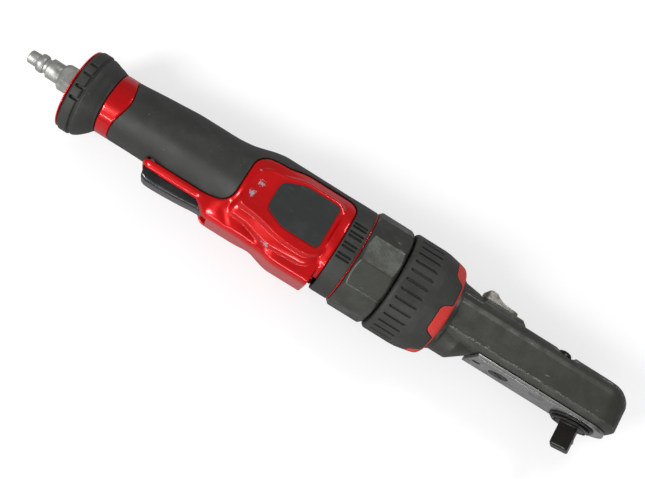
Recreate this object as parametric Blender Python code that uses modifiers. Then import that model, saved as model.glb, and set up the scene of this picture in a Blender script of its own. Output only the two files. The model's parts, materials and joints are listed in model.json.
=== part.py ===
"""Air ratchet: a 3/8 inch square drive turned by a vane motor, planetary gears and a crank.

Metres, +Z up. The tool lies along X with its air plug at the rear and the ratchet head in front.
The data plate faces +Z; the square drive, throttle lever and exhaust face -Y.
Places are measured from the tip of the air plug, on the motor's axis.
"""

from math import atan2, cos, pi, radians, sin

import bmesh
import bpy
from mathutils import Matrix, Vector

# Clearances
GAP = 0.0003
CUT_PAST = 0.004

# Facets round a full turn
FINE = 40
ROUND = 24
SMALL = 16

# Air plug and inlet
PLUG_TIP_RADIUS = 0.0035
PLUG_TIP_LENGTH = 0.0048
PLUG_RING_RADIUS = 0.0048
PLUG_RING_LENGTH = 0.0042
PLUG_NECK_RADIUS = 0.0038
PLUG_NECK_LENGTH = 0.0014
PLUG_BODY_RADIUS = 0.0052
PLUG_BODY_LENGTH = 0.0078
PLUG_HEX_FLATS = 0.0127
PLUG_HEX_LENGTH = 0.0090
PLUG_THREAD_RADIUS = 0.0062
PLUG_THREAD_LENGTH = 0.0115
PLUG_BORE_RADIUS = 0.0022
INLET_WALL = 0.0032
INLET_LENGTH = 0.0155
SCREEN_THICKNESS = 0.0008
SCREEN_HOLE_RADIUS = 0.0011
AIRWAY_RADIUS = 0.0045

# Handle, from the rear
REAR_FLANGE_RADIUS = 0.0211
REAR_FLANGE_LENGTH = 0.0009
BOOT_LENGTH = 0.0160
BOOT_LIP_LENGTH = 0.0058
BOOT_BACK = 0.0206
BOOT_FRONT = 0.0230
BOOT_SIDE = 0.0218
BOOT_LIP_STEP = 0.0006
BOOT_NOTCH_WIDTH = 0.0009
BOOT_NOTCH_PITCH = radians(17)
BAND_LENGTH = 0.0070
BAND_BACK = 0.0175
BAND_FRONT = 0.0149
BAND_SIDE = 0.0162
GRIP_LENGTH = 0.0687
GRIP_BACK = 0.0200
GRIP_SIDE = 0.0190
BODY_LENGTH = 0.0547
BODY_BACK = 0.0249
BODY_FRONT = 0.0230
BODY_SIDE = 0.0241
RING_LENGTH = 0.0100
RING_RADIUS = 0.0250
RING_GROOVE_WIDTH = 0.0008
RING_GROOVE_DEPTH = 0.0007
RING_GROOVE_PITCH = radians(13.5)
RUBBER = 0.0026
NOSE_LENGTH = 0.0110
HOUSING_RIM = 0.0005

# Keel under the handle: lever rail, hood and exhaust hump
RAIL_DEPTH = 0.0184
RAIL_HALF_WIDTH = 0.0096
HOOD_DEPTH = 0.0251
HOOD_HALF_WIDTH = 0.0118
HUMP_DEPTH = 0.0276
HUMP_HALF_WIDTH = 0.0128
LEVER_SETBACK = 0.0245
LEVER_LENGTH = 0.0342
LEVER_HALF_WIDTH = 0.0070
LEVER_DEPTH = 0.0243
LEVER_TOP = 0.0172
LEVER_WALL = 0.0020
LEVER_PIVOT_DEPTH = 0.0196
LEVER_TRAVEL = radians(6)
LEVER_PIN_RADIUS = 0.0015
LEVER_PIN_GRIP = 0.0022
RECESS_FLOOR = 0.0122
VALVE_SETBACK = 0.0270
VALVE_STEM_RADIUS = 0.0020
VALVE_HEAD_RADIUS = 0.0038
VALVE_BORE_RADIUS = 0.0049
VALVE_BORE_TOP = 0.0085
SPRING_WIRE = 0.0007
SPRING_TURNS = 5
OUTLET_HALF_WIDTH = 0.0095
OUTLET_LENGTH = 0.0150
FELT_THICKNESS = 0.0040

# Data plate on its platform
PLATE_LENGTH = 0.0308
PLATE_HALF_WIDTH = 0.0118
PLATE_NARROW = 0.0090
PLATE_TAPER = 0.0115
PLATE_THICKNESS = 0.0008
PLATE_HEIGHT = 0.0226
PLATFORM_MARGIN = 0.0020
PLATFORM_STEP = 0.0014

# Motor
MOTOR_BORE = 0.0193
END_PLATE_LENGTH = 0.0066
BEARING_RADIUS = 0.0085
BEARING_LENGTH = 0.0045
LINER_LENGTH = 0.0385
LINER_BORE = 0.0155
LINER_OFFSET = 0.0014
ROTOR_RADIUS = 0.0137
REAR_SHAFT_RADIUS = 0.0030
FRONT_SHAFT_RADIUS = 0.0034
VANES = 5
VANE_THICKNESS = 0.0016
VANE_DEPTH = 0.0055

# Planetary stage
GEAR_MODULE = 0.00075
SUN_TEETH = 12
PLANET_TEETH = 15
PLANETS = 3
GEAR_LENGTH = 0.0170
CARRIER_LENGTH = 0.0045
PLANET_PIN_RADIUS = 0.0022

# Clamp nut and collar
NUT_LENGTH = 0.0208
NUT_CORNER_RADIUS = 0.0269
NUT_SIDES = 12
NUT_CLOCK = radians(12)
NUT_CHAMFER = 0.0015
NUT_LIP = 0.0038
COLLAR_STANDOFF = 0.0010
COLLAR_LENGTH = 0.0313
COLLAR_RADIUS = 0.0274
COLLAR_STRAIGHT = 0.0180
COLLAR_FRONT_RADIUS = 0.0254
COLLAR_MOUTH_RADIUS = 0.0216
COLLAR_FACETS = 36
COLLAR_GROOVES = 33
COLLAR_GROOVE_LENGTH = 0.0122
COLLAR_GROOVE_WIDTH = 0.0010
COLLAR_GROOVE_DEPTH = 0.0008
COLLAR_CLOCK = radians(14.5)
TRIM_PADS = 5
TRIM_CLOCK = radians(24)
TRIM_PAD_LENGTH = 0.0066
TRIM_LINE = 0.0014
TRIM_WIDE = radians(21)
TRIM_NARROW = radians(15)

# Ratchet head
SPIGOT_RADIUS = 0.0200
NECK_LENGTH = 0.0120
NECK_DEPTH = 0.0193
NECK_SLOPE = 0.0140
HEAD_LENGTH = 0.1066
HEAD_HALF_WIDTH = 0.0162
HEAD_BACK = 0.0135
HEAD_FACE = 0.01035
BACK_CHAMFER = 0.0052
BACK_CHAMFER_DEPTH = 0.0074
FACE_CHAMFER = 0.0033
FACE_CHAMFER_DEPTH = 0.0030
ANVIL_SETBACK = 0.0213
CAVITY_HALF_WIDTH = 0.0114
CAVITY_TOP = 0.0056
CAVITY_REAR = 0.0525
COVER_THICKNESS = 0.0020
COVER_HALF_WIDTH = 0.0122
COVER_LENGTH = 0.0790
COVER_SCREW_RADIUS = 0.0021
COVER_SCREW_SETBACK = 0.0040
COVER_PLUG_RADIUS = 0.0052
COVER_PLUG_SETBACK = 0.0172
BOSS_HEIGHT = 0.0170
BOSS_HALF_WIDTH = 0.0080
BOSS_LENGTH = 0.0270
GREASE_SETBACK = 0.0219
GREASE_OFFSET = 0.0080
GREASE_RADIUS = 0.0042
GREASE_SEAT_RADIUS = 0.0060
GREASE_SEAT_DEPTH = 0.0025

# Crank
CRANK_RADIUS = 0.0065
CRANK_THROW = 0.0019
CRANK_PIN_RADIUS = 0.0022
CRANK_PIN_LENGTH = 0.0125
CRANK_BEARING_RADIUS = 0.0140
CRANK_BEARING_LENGTH = 0.0110
BUSH_LENGTH = 0.0130
BUSH_WALL = 0.0030
BUSH_SETBACK = 0.0095
DRIVE_BUSH_RADIUS = 0.0033
DRIVE_BUSH_LENGTH = 0.0100

# Ratchet
YOKE_RADIUS = 0.0110
YOKE_ARM = 0.0019
YOKE_TEETH = 72
YOKE_TOOTH = 0.0005
YOKE_TIP_RADIUS = 0.0095
ANVIL_JOURNAL_RADIUS = 0.0082
ANVIL_TOP_RADIUS = 0.0060
ANVIL_TOP_LENGTH = 0.0055
SQUARE_SIDE = 0.009525
SQUARE_LENGTH = 0.0130
SQUARE_CLOCK = radians(28.6)
SQUARE_CHAMFER = 0.0009
BUSHING_FLANGE_RADIUS = 0.0119
BUSHING_FLANGE_THICKNESS = 0.0010
BUSHING_WALL = 0.0015
RETAINER_RADIUS = 0.0104
RETAINER_THICKNESS = 0.0009
PAWL_HALF_LENGTH = 0.0087
PAWL_HALF_WIDTH = 0.0030
PAWL_THICKNESS = 0.0062
PAWL_ROCK = radians(4)
PAWL_PIN_RADIUS = 0.0016
BALL_RADIUS = 0.0019
BALL_PROUD = 0.0008
BALL_FROM_TIP = 0.0060

# Reverse lever
REVERSE_LENGTH = 0.0200
REVERSE_HALF_WIDTH = 0.0050
REVERSE_THICKNESS = 0.0022
REVERSE_TAB_HEIGHT = 0.0038
REVERSE_PIN_RADIUS = 0.0022
REVERSE_PIN_LENGTH = 0.0050

# Stations along X
HEX_FRONT = (
    PLUG_TIP_LENGTH + PLUG_RING_LENGTH + PLUG_NECK_LENGTH + PLUG_BODY_LENGTH + PLUG_HEX_LENGTH
)
INLET_REAR = HEX_FRONT + GAP
REAR_FACE = INLET_REAR + 0.0009
BOOT_REAR = REAR_FACE + REAR_FLANGE_LENGTH + GAP
BAND_REAR = BOOT_REAR + BOOT_LENGTH
GRIP_REAR = BAND_REAR + BAND_LENGTH
BODY_REAR = GRIP_REAR + GRIP_LENGTH
RING_REAR = BODY_REAR + BODY_LENGTH
RING_FRONT = RING_REAR + RING_LENGTH
HOUSING_FRONT = RING_FRONT + HOUSING_RIM
NOSE_FRONT = HOUSING_FRONT + NOSE_LENGTH
NUT_REAR = HOUSING_FRONT + GAP
NUT_FRONT = NUT_REAR + NUT_LENGTH
COLLAR_REAR = NUT_FRONT + COLLAR_STANDOFF
COLLAR_FRONT = COLLAR_REAR + COLLAR_LENGTH
NECK_REAR = COLLAR_FRONT + GAP
NECK_FRONT = NECK_REAR + NECK_LENGTH
HEAD_FRONT = NECK_REAR + HEAD_LENGTH
NOSE_CENTRE = HEAD_FRONT - HEAD_HALF_WIDTH
ANVIL_X = HEAD_FRONT - ANVIL_SETBACK
COVER_REAR = NOSE_CENTRE + COVER_HALF_WIDTH - COVER_LENGTH
CAVITY_START = ANVIL_X - CAVITY_REAR
LEVER_PIVOT_X = BODY_REAR - 0.0100
VALVE_X = LEVER_PIVOT_X - VALVE_SETBACK
LEVER_REAR = LEVER_PIVOT_X - LEVER_LENGTH
HUMP_REAR = BODY_REAR + 0.0260
HUMP_FRONT = RING_REAR - 0.0028
PLATE_CENTRE_X = RING_REAR - 0.0232

# Motor stations
BORE_REAR = BODY_REAR + 0.0020
REAR_PLATE_REAR = BORE_REAR + GAP
LINER_REAR = REAR_PLATE_REAR + END_PLATE_LENGTH + GAP
LINER_FRONT = LINER_REAR + LINER_LENGTH
FRONT_PLATE_REAR = LINER_FRONT + GAP
FRONT_PLATE_FRONT = FRONT_PLATE_REAR + END_PLATE_LENGTH
RING_GEAR_REAR = FRONT_PLATE_FRONT + GAP
GEAR_REAR = NOSE_FRONT + 0.0018 - GEAR_LENGTH
GEAR_FRONT = NOSE_FRONT + 0.0018
CARRIER_REAR = GEAR_FRONT + GAP
CARRIER_FRONT = CARRIER_REAR + CARRIER_LENGTH
FLANGE_REAR = NOSE_FRONT + GAP
FLANGE_FRONT = NUT_FRONT - NUT_LIP - GAP
BEARING_REAR = CARRIER_FRONT + 3 * GAP
BEARING_FRONT = BEARING_REAR + CRANK_BEARING_LENGTH
CRANK_PIN_REAR = CAVITY_START + 0.0012
BUSH_FRONT = CAVITY_START - BUSH_SETBACK
BUSH_REAR = BUSH_FRONT - BUSH_LENGTH
SPIGOT_FLANGE_RADIUS = MOTOR_BORE + 0.0039
SUN_PITCH = SUN_TEETH * GEAR_MODULE / 2
PLANET_PITCH = PLANET_TEETH * GEAR_MODULE / 2
PLANET_ORBIT = SUN_PITCH + PLANET_PITCH
RING_TEETH = SUN_TEETH + 2 * PLANET_TEETH

# Levels along Y on the head, measured towards the anvil
COVER_TOP = HEAD_FACE + GAP
COVER_FACE = COVER_TOP + COVER_THICKNESS
FLANGE_FACE = COVER_FACE + GAP + BUSHING_FLANGE_THICKNESS
RETAINER_FACE = FLANGE_FACE + GAP + RETAINER_THICKNESS
SQUARE_TOP = RETAINER_FACE + 0.0002
ANVIL_TIP = SQUARE_TOP + SQUARE_LENGTH

# The frame's origin under the middle of the whole tool, which lies on a flat of the collar
COLLAR_FLAT = COLLAR_RADIUS * cos(pi / COLLAR_FACETS)
FRAME_SHIFT = Vector(
    (-HEAD_FRONT / 2, (max(ANVIL_TIP, HUMP_DEPTH) - COLLAR_FLAT) / 2, COLLAR_FLAT)
)

Y_AXIS = Matrix.Rotation(-pi / 2, 4, "X")
X_AXIS = Matrix.Rotation(pi / 2, 4, "Y")

for old in list(bpy.data.objects):
    bpy.data.objects.remove(old, do_unlink=True)

PARTS = bpy.data.collections.new("air_ratchet")
CUTTERS = bpy.data.collections.new("cutters")
bpy.context.scene.collection.children.link(PARTS)
bpy.context.scene.collection.children.link(CUTTERS)
FRAME = bpy.data.objects.new("frame", None)
FRAME.location = FRAME_SHIFT
PARTS.objects.link(FRAME)


def finish(name, colour, roughness, metallic):
    """A plain finish of one colour."""
    made = bpy.data.materials.new(name)
    made.use_nodes = True
    shader = made.node_tree.nodes["Principled BSDF"]
    shader.inputs["Base Color"].default_value = (*colour, 1.0)
    shader.inputs["Roughness"].default_value = roughness
    shader.inputs["Metallic"].default_value = metallic
    return made


RED = finish("red_paint", (0.55, 0.008, 0.008), 0.18, 0.0)
BLACK_RUBBER = finish("black_rubber", (0.042, 0.044, 0.040), 0.62, 0.0)
GLOSS_BLACK = finish("gloss_black", (0.012, 0.012, 0.013), 0.25, 0.0)
GUNMETAL = finish("gunmetal", (0.075, 0.076, 0.066), 0.42, 0.75)
NUT_STEEL = finish("nut_steel", (0.072, 0.074, 0.070), 0.40, 0.70)
BLACK_OXIDE = finish("black_oxide", (0.030, 0.030, 0.028), 0.38, 0.80)
BARE_STEEL = finish("bare_steel", (0.46, 0.46, 0.47), 0.34, 0.95)
ZINC = finish("zinc", (0.52, 0.53, 0.50), 0.30, 0.95)
PLATE_BLACK = finish("plate_black", (0.028, 0.030, 0.030), 0.45, 0.0)
TRIM_RED = finish("trim_red", (0.62, 0.075, 0.055), 0.45, 0.0)
BRONZE = finish("bronze", (0.40, 0.24, 0.09), 0.40, 0.90)
FELT = finish("felt", (0.20, 0.19, 0.17), 0.95, 0.0)
VANE_RESIN = finish("vane_resin", (0.16, 0.10, 0.05), 0.60, 0.0)


def put(name, mesh, material, at=(0, 0, 0), turn=None, parent=None):
    """A part, or a cutter where there is no material, placed in the tool's frame."""
    made = bpy.data.objects.new(name, mesh)
    made.parent = parent or FRAME
    made.matrix_basis = Matrix.Translation(at) @ (turn or Matrix())
    if material is None:
        CUTTERS.objects.link(made)
        made.hide_render = True
        made.display_type = "WIRE"
        return made
    mesh.materials.append(material)
    PARTS.objects.link(made)
    return made


def shade(mesh):
    mesh.shade_smooth()
    mesh.set_sharp_from_angle(angle=radians(35))


def turned(name, profile, material, at=(0, 0, 0), turn=X_AXIS, steps=ROUND, loop=False):
    """A profile of (height, radius) points, outer side rising, swept round the turned Z axis."""
    mesh = bpy.data.meshes.new(name)
    points = [(radius, 0, height) for height, radius in reversed(profile)]
    edges = [(i, i + 1) for i in range(len(points) - 1)]
    if loop:
        edges.append((len(points) - 1, 0))
    mesh.from_pydata(points, edges, [])
    made = put(name, mesh, material, at, turn)
    screw = made.modifiers.new("turn", "SCREW")
    screw.steps = steps
    screw.render_steps = steps
    screw.use_merge_vertices = True
    screw.merge_threshold = 0.00001
    return made


def ring(name, low, high, inner, outer, material, at=(0, 0, 0), turn=X_AXIS, steps=ROUND, ease=0.0):
    """A turned ring with a small chamfer, eased, on its outer edges."""
    profile = [(low, inner), (low, outer - ease)]
    if ease:
        profile += [(low + ease, outer), (high - ease, outer)]
    profile += [(high, outer - ease), (high, inner)]
    return turned(name, profile, material, at, turn, steps, loop=True)


def rod(name, low, high, radius, material, at=(0, 0, 0), turn=X_AXIS, steps=ROUND):
    """A plain cylinder."""
    profile = [(low, 0), (low, radius), (high, radius), (high, 0)]
    return turned(name, profile, material, at, turn, steps)


def prism(name, outlines, low, high, material, turn=None, at=(0, 0, 0), parent=None):
    """Flat outlines, the first outside and any others its holes, extruded along Z, then turned."""
    flat = bpy.data.curves.new(name, "CURVE")
    flat.dimensions = "2D"
    flat.fill_mode = "BOTH"
    flat.extrude = (high - low) / 2
    for outline in outlines:
        spline = flat.splines.new("POLY")
        spline.points.add(len(outline) - 1)
        for point, (u, v) in zip(spline.points, outline):
            point.co = (u, v, 0, 1)
        spline.use_cyclic_u = True
    guide = bpy.data.objects.new(name, flat)
    bpy.context.scene.collection.objects.link(guide)
    graph = bpy.context.evaluated_depsgraph_get()
    mesh = bpy.data.meshes.new_from_object(guide.evaluated_get(graph))
    bpy.data.objects.remove(guide, do_unlink=True)
    work = bmesh.new()
    work.from_mesh(mesh)
    bmesh.ops.remove_doubles(work, verts=work.verts, dist=0.000002)
    bmesh.ops.translate(work, verts=work.verts, vec=(0, 0, (low + high) / 2))
    bmesh.ops.recalc_face_normals(work, faces=work.faces)
    work.to_mesh(mesh)
    work.free()
    mesh.name = name
    return put(name, mesh, material, at, turn, parent)


def loft(name, rings, material, at=(0, 0, 0)):
    """A closed skin through rings of as many points, with flat ends."""
    work = bmesh.new()
    loops = [[work.verts.new(point) for point in points] for points in rings]
    count = len(loops[0])
    for near, far in zip(loops, loops[1:]):
        for i in range(count):
            j = (i + 1) % count
            work.faces.new((near[i], near[j], far[j], far[i]))
    work.faces.new(loops[0])
    work.faces.new(loops[-1])
    bmesh.ops.recalc_face_normals(work, faces=work.faces)
    mesh = bpy.data.meshes.new(name)
    work.to_mesh(mesh)
    work.free()
    shade(mesh)
    return put(name, mesh, material, at)


def box(name, low, high, material=None, at=(0, 0, 0), turn=None):
    """A block between two corners."""
    work = bmesh.new()
    bmesh.ops.create_cube(work, size=1)
    span = [b - a for a, b in zip(low, high)]
    middle = [(a + b) / 2 for a, b in zip(low, high)]
    bmesh.ops.scale(work, vec=span, verts=work.verts)
    bmesh.ops.translate(work, vec=middle, verts=work.verts)
    mesh = bpy.data.meshes.new(name)
    work.to_mesh(mesh)
    work.free()
    return put(name, mesh, material, at, turn)


def combine(target, other, operation="DIFFERENCE"):
    """Cuts a cutter from a part, joins it, or keeps what they share."""
    step = target.modifiers.new(other.name, "BOOLEAN")
    step.operation = operation
    step.object = other
    return target


def bevel(target, width, segments=2, angle=radians(50)):
    step = target.modifiers.new("ease", "BEVEL")
    step.width = width
    step.segments = segments
    step.limit_method = "ANGLE"
    step.angle_limit = angle
    return target


def arc(radius, start, end, steps, centre=(0, 0)):
    """Points along an arc, both ends included."""
    turns = [start + (end - start) * i / steps for i in range(steps + 1)]
    return [(centre[0] + radius * cos(a), centre[1] + radius * sin(a)) for a in turns]


def circle(radius, steps, centre=(0, 0)):
    return arc(radius, 0, 2 * pi, steps, centre)[:-1]


def gear_outline(teeth, pitch_radius, inward=False, phase=0.0):
    """Straight-sided teeth with backlash; inward teeth point to the axis."""
    pitch = 2 * pi / teeth
    tip = pitch_radius - 0.80 * GEAR_MODULE if inward else pitch_radius + 0.80 * GEAR_MODULE
    root = pitch_radius + 1.15 * GEAR_MODULE if inward else pitch_radius - 1.15 * GEAR_MODULE
    points = []
    for k in range(teeth):
        middle = phase + k * pitch
        for radius, share in ((root, -0.30), (tip, -0.10), (tip, 0.10), (root, 0.30)):
            angle = middle + share * pitch
            points.append((radius * cos(angle), radius * sin(angle)))
    return points


def oval(x, back, front, side, inset=0.0, steps=FINE):
    """A handle section at x: one half-ellipse towards the back, another towards the lever."""
    points = []
    for k in range(steps):
        angle = 2 * pi * (k + 0.5) / steps
        reach = back if cos(angle) > 0 else front
        points.append((x, (reach - inset) * cos(angle), (side - inset) * sin(angle)))
    return points


# Flat outlines on the XZ plane become solids along Y, and on YZ along X
ALONG_Y = Matrix(((1, 0, 0, 0), (0, 0, -1, 0), (0, 1, 0, 0), (0, 0, 0, 1)))
ALONG_X = Matrix(((0, 0, 1, 0), (1, 0, 0, 0), (0, 1, 0, 0), (0, 0, 0, 1)))


def handle_stations():
    """Outer sections of the handle from the band to the front ring: x, back, front, side."""
    return (
        (BAND_REAR, BAND_BACK, BAND_FRONT, BAND_SIDE),
        (GRIP_REAR, BAND_BACK, BAND_FRONT, BAND_SIDE),
        (GRIP_REAR + 0.15 * GRIP_LENGTH, BAND_BACK + 0.0008, BAND_FRONT, BAND_SIDE + 0.0006),
        (GRIP_REAR + 0.32 * GRIP_LENGTH, GRIP_BACK - 0.0008, BAND_FRONT + 0.0002, GRIP_SIDE - 0.0013),
        (GRIP_REAR + 0.52 * GRIP_LENGTH, GRIP_BACK, BAND_FRONT + 0.0017, GRIP_SIDE),
        (GRIP_REAR + 0.78 * GRIP_LENGTH, GRIP_BACK, BAND_FRONT + 0.0022, GRIP_SIDE + 0.0006),
        (GRIP_REAR + 0.91 * GRIP_LENGTH, GRIP_BACK + 0.0008, BODY_FRONT - 0.0045, GRIP_SIDE + 0.0014),
        (BODY_REAR, BODY_BACK - 0.0026, BODY_FRONT - 0.0025, BODY_SIDE - 0.0025),
        (BODY_REAR + 0.0060, BODY_BACK - 0.0009, BODY_FRONT - 0.0010, BODY_SIDE - 0.0011),
        (BODY_REAR + 0.0125, BODY_BACK, BODY_FRONT, BODY_SIDE),
        (RING_REAR - 0.0080, BODY_BACK, BODY_FRONT, BODY_SIDE),
        (RING_REAR + 0.0020, RING_RADIUS, RING_RADIUS, RING_RADIUS),
        (RING_FRONT, RING_RADIUS, RING_RADIUS, RING_RADIUS),
    )


def handle_form(name, material, inset, rear_trim=0.0, front_trim=0.0, grow=0.0):
    """The handle's outer form, drawn in or out by an even amount."""
    sections = []
    stations = handle_stations()
    for i, (x, back, front, side) in enumerate(stations):
        if i == 0:
            x += rear_trim
        if i == len(stations) - 1:
            x -= front_trim
        sections.append(oval(x, back, front, side, inset - grow))
    return loft(name, sections, material)


def red_outline(grow):
    """Where the red housing shows through the rubber, seen from the plate's side."""
    rail_start = LEVER_REAR - 0.0030 - grow
    rail_top = -(BAND_FRONT + 0.0002) + grow
    rear = BODY_REAR - grow
    front = RING_REAR + grow
    top = BODY_BACK - 0.0054 + grow
    low = -2 * HUMP_DEPTH
    points = [(rail_start, low), (rail_start, rail_top - 0.0022), (rail_start + 0.0025, rail_top)]
    points += arc(0.0080, -pi / 2, 0, 5, (rear - 0.0080, rail_top + 0.0080))
    points += arc(0.0080, pi, pi / 2, 5, (rear + 0.0080, top - 0.0115))
    points += [(rear + 0.0165, top - 0.0030), (rear + 0.0230, top - 0.0008), (rear + 0.0270, top)]
    points += arc(0.0060, pi / 2, 0, 5, (front - 0.0060, top - 0.0060))
    points.append((front, low))
    return points


def keel_section(x, top_half, low_half, depth):
    """A keel section: sloping sides with a soft corner each side of a flat sole."""
    shoulder = -0.0080
    corner = 0.0030
    slope = Vector((low_half - top_half, -depth - shoulder)).normalized()
    low = Vector((low_half, -depth))
    near = low - slope * corner
    far = low - Vector((corner, 0))
    half = [Vector((top_half, shoulder)), near]
    half.append(0.25 * near + 0.5 * low + 0.25 * far)
    half.append(far)
    right = [(x, point.y, point.x) for point in half]
    left = [(x, y, -z) for _, y, z in reversed(right)]
    return right + left


def plate_outline(grow):
    """The data plate's long hexagon, tapering to the rear."""
    rear = PLATE_CENTRE_X - PLATE_LENGTH / 2 - grow
    front = PLATE_CENTRE_X + PLATE_LENGTH / 2 + grow
    wide = PLATE_HALF_WIDTH + grow
    narrow = PLATE_NARROW + grow
    soft = 0.0016
    return [
        (rear, -narrow + 3 * soft),
        (rear + soft, -narrow + soft),
        (rear + PLATE_TAPER, -wide),
        (front - soft, -wide),
        (front, -wide + soft),
        (front, wide - soft),
        (front - soft, wide),
        (rear + PLATE_TAPER, wide),
        (rear + soft, narrow - soft),
        (rear, narrow - 3 * soft),
    ]


def build_inlet():
    x = 0.0
    profile = [(x, PLUG_BORE_RADIUS), (x, PLUG_TIP_RADIUS - 0.0004), (x + 0.0006, PLUG_TIP_RADIUS)]
    x += PLUG_TIP_LENGTH
    profile += [(x, PLUG_TIP_RADIUS), (x + 0.0010, PLUG_RING_RADIUS)]
    x += PLUG_RING_LENGTH
    profile += [(x - 0.0008, PLUG_RING_RADIUS), (x, PLUG_NECK_RADIUS)]
    x += PLUG_NECK_LENGTH
    profile += [(x, PLUG_NECK_RADIUS), (x + 0.0010, PLUG_BODY_RADIUS)]
    x += PLUG_BODY_LENGTH + PLUG_HEX_LENGTH / 2
    profile += [(x, PLUG_BODY_RADIUS), (x, PLUG_THREAD_RADIUS - 0.0004)]
    x = HEX_FRONT + PLUG_THREAD_LENGTH
    profile += [(x - 0.0008, PLUG_THREAD_RADIUS), (x, PLUG_THREAD_RADIUS - 0.0006), (x, PLUG_BORE_RADIUS)]
    plug = turned("air_plug", profile, ZINC, steps=SMALL, loop=True)
    corner = PLUG_HEX_FLATS / 2 / cos(pi / 6)
    hexagon = circle(corner, 6)
    collar = prism(
        "plug_hex", [hexagon, circle(PLUG_BODY_RADIUS - 0.0012, SMALL)],
        HEX_FRONT - PLUG_HEX_LENGTH, HEX_FRONT, None, ALONG_X,
    )
    combine(plug, collar, "UNION")

    bore = PLUG_THREAD_RADIUS + GAP
    seat = HEX_FRONT + PLUG_THREAD_LENGTH + SCREEN_THICKNESS + 2 * GAP
    front = INLET_REAR + INLET_LENGTH
    profile = [(INLET_REAR, bore), (INLET_REAR, bore + INLET_WALL), (front, bore + INLET_WALL)]
    profile += [(front, bore - 0.0014), (seat, bore - 0.0014), (seat, bore)]
    turned("inlet_bushing", profile, BARE_STEEL, steps=SMALL, loop=True)
    holes = [circle(SCREEN_HOLE_RADIUS, 8)]
    holes += [
        circle(SCREEN_HOLE_RADIUS, 8, (0.0036 * cos(k * pi / 3), 0.0036 * sin(k * pi / 3)))
        for k in range(6)
    ]
    prism(
        "inlet_screen", [circle(bore - GAP, SMALL)] + holes,
        seat - GAP - SCREEN_THICKNESS, seat - GAP, BRONZE, ALONG_X,
    )


def build_boot():
    front = BAND_REAR - GAP
    lip = BOOT_REAR + BOOT_LIP_LENGTH
    flare = front - lip
    stations = (
        (BOOT_REAR, BOOT_BACK - 0.0008, BOOT_FRONT - 0.0008, BOOT_SIDE - 0.0008),
        (BOOT_REAR + 0.0010, BOOT_BACK, BOOT_FRONT, BOOT_SIDE),
        (lip - 0.0004, BOOT_BACK, BOOT_FRONT, BOOT_SIDE),
        (lip, BOOT_BACK - BOOT_LIP_STEP, BOOT_FRONT - BOOT_LIP_STEP, BOOT_SIDE - BOOT_LIP_STEP),
        (lip + 0.25 * flare, BOOT_BACK - 0.0011, BOOT_FRONT - 0.0013, BOOT_SIDE - 0.0014),
        (lip + 0.50 * flare, BAND_BACK + 0.0014, BAND_FRONT + 0.0052, BAND_SIDE + 0.0030),
        (lip + 0.72 * flare, BAND_BACK + 0.0008, BAND_FRONT + 0.0027, BAND_SIDE + 0.0016),
        (front, BAND_BACK, BAND_FRONT, BAND_SIDE),
    )
    boot = loft("rear_boot", [oval(*station) for station in stations], BLACK_RUBBER)
    core = [
        oval(x, BAND_BACK, BAND_FRONT, BAND_SIDE, RUBBER - GAP)
        for x in (BOOT_REAR - CUT_PAST, BAND_REAR + CUT_PAST)
    ]
    combine(boot, loft("boot_bore", core, None))
    for side in (1, -1):
        for k in range(4):
            angle = side * (pi / 2 + (k - 1.1) * BOOT_NOTCH_PITCH)
            notch = box(
                "boot_notch", (BOOT_REAR + 0.0016, BOOT_SIDE - 0.0014, -BOOT_NOTCH_WIDTH / 2),
                (lip - 0.0007, BOOT_SIDE + 0.0030, BOOT_NOTCH_WIDTH / 2),
                turn=Matrix.Rotation(angle, 4, "X"),
            )
            combine(boot, notch)


def build_grip():
    grip = handle_form("grip_sleeve", BLACK_RUBBER, 0.0, rear_trim=BAND_LENGTH + GAP)
    combine(grip, handle_form("grip_bore", None, RUBBER - GAP, -CUT_PAST, -CUT_PAST))
    combine(grip, prism("red_window", [red_outline(GAP)], -0.06, 0.06, None))
    combine(grip, keel("keel_room", GAP))
    for side in (1, -1):
        for k in range(4):
            angle = side * (pi / 2 + (k - 1.5) * RING_GROOVE_PITCH)
            groove = box(
                "ring_groove", (RING_REAR + 0.0012, RING_RADIUS - RING_GROOVE_DEPTH, -RING_GROOVE_WIDTH / 2),
                (RING_FRONT - 0.0012, RING_RADIUS + 0.0030, RING_GROOVE_WIDTH / 2),
                turn=Matrix.Rotation(angle, 4, "X"),
            )
            combine(grip, groove)


def keel(name, grow=0.0):
    """The keel from the lever's rear to the exhaust, drawn out by an even amount."""
    rail = LEVER_REAR - 0.0032
    stations = (
        (rail, 0.0074, 0.0050, BAND_FRONT - 0.0014),
        (rail + 0.0030, 0.0096, RAIL_HALF_WIDTH - 0.0008, RAIL_DEPTH - 0.0008),
        (rail + 0.0065, 0.0104, RAIL_HALF_WIDTH, RAIL_DEPTH),
        (LEVER_PIVOT_X - 0.0055, 0.0108, RAIL_HALF_WIDTH, RAIL_DEPTH),
        (LEVER_PIVOT_X - 0.0012, 0.0132, HOOD_HALF_WIDTH - 0.0010, HOOD_DEPTH - 0.0024),
        (LEVER_PIVOT_X + 0.0022, 0.0162, HOOD_HALF_WIDTH, HOOD_DEPTH),
        (HUMP_REAR - 0.0050, 0.0185, HOOD_HALF_WIDTH, HOOD_DEPTH),
        (HUMP_REAR + 0.0030, 0.0185, HUMP_HALF_WIDTH - 0.0004, HUMP_DEPTH - 0.0007),
        (HUMP_REAR + 0.0070, 0.0185, HUMP_HALF_WIDTH, HUMP_DEPTH),
        (HUMP_FRONT, 0.0185, HUMP_HALF_WIDTH, HUMP_DEPTH),
    )
    sections = [keel_section(x, top + grow, low + grow, deep + grow) for x, top, low, deep in stations]
    sections[0] = [(x - grow, y, z) for x, y, z in sections[0]]
    return loft(name, sections, None)


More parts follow.
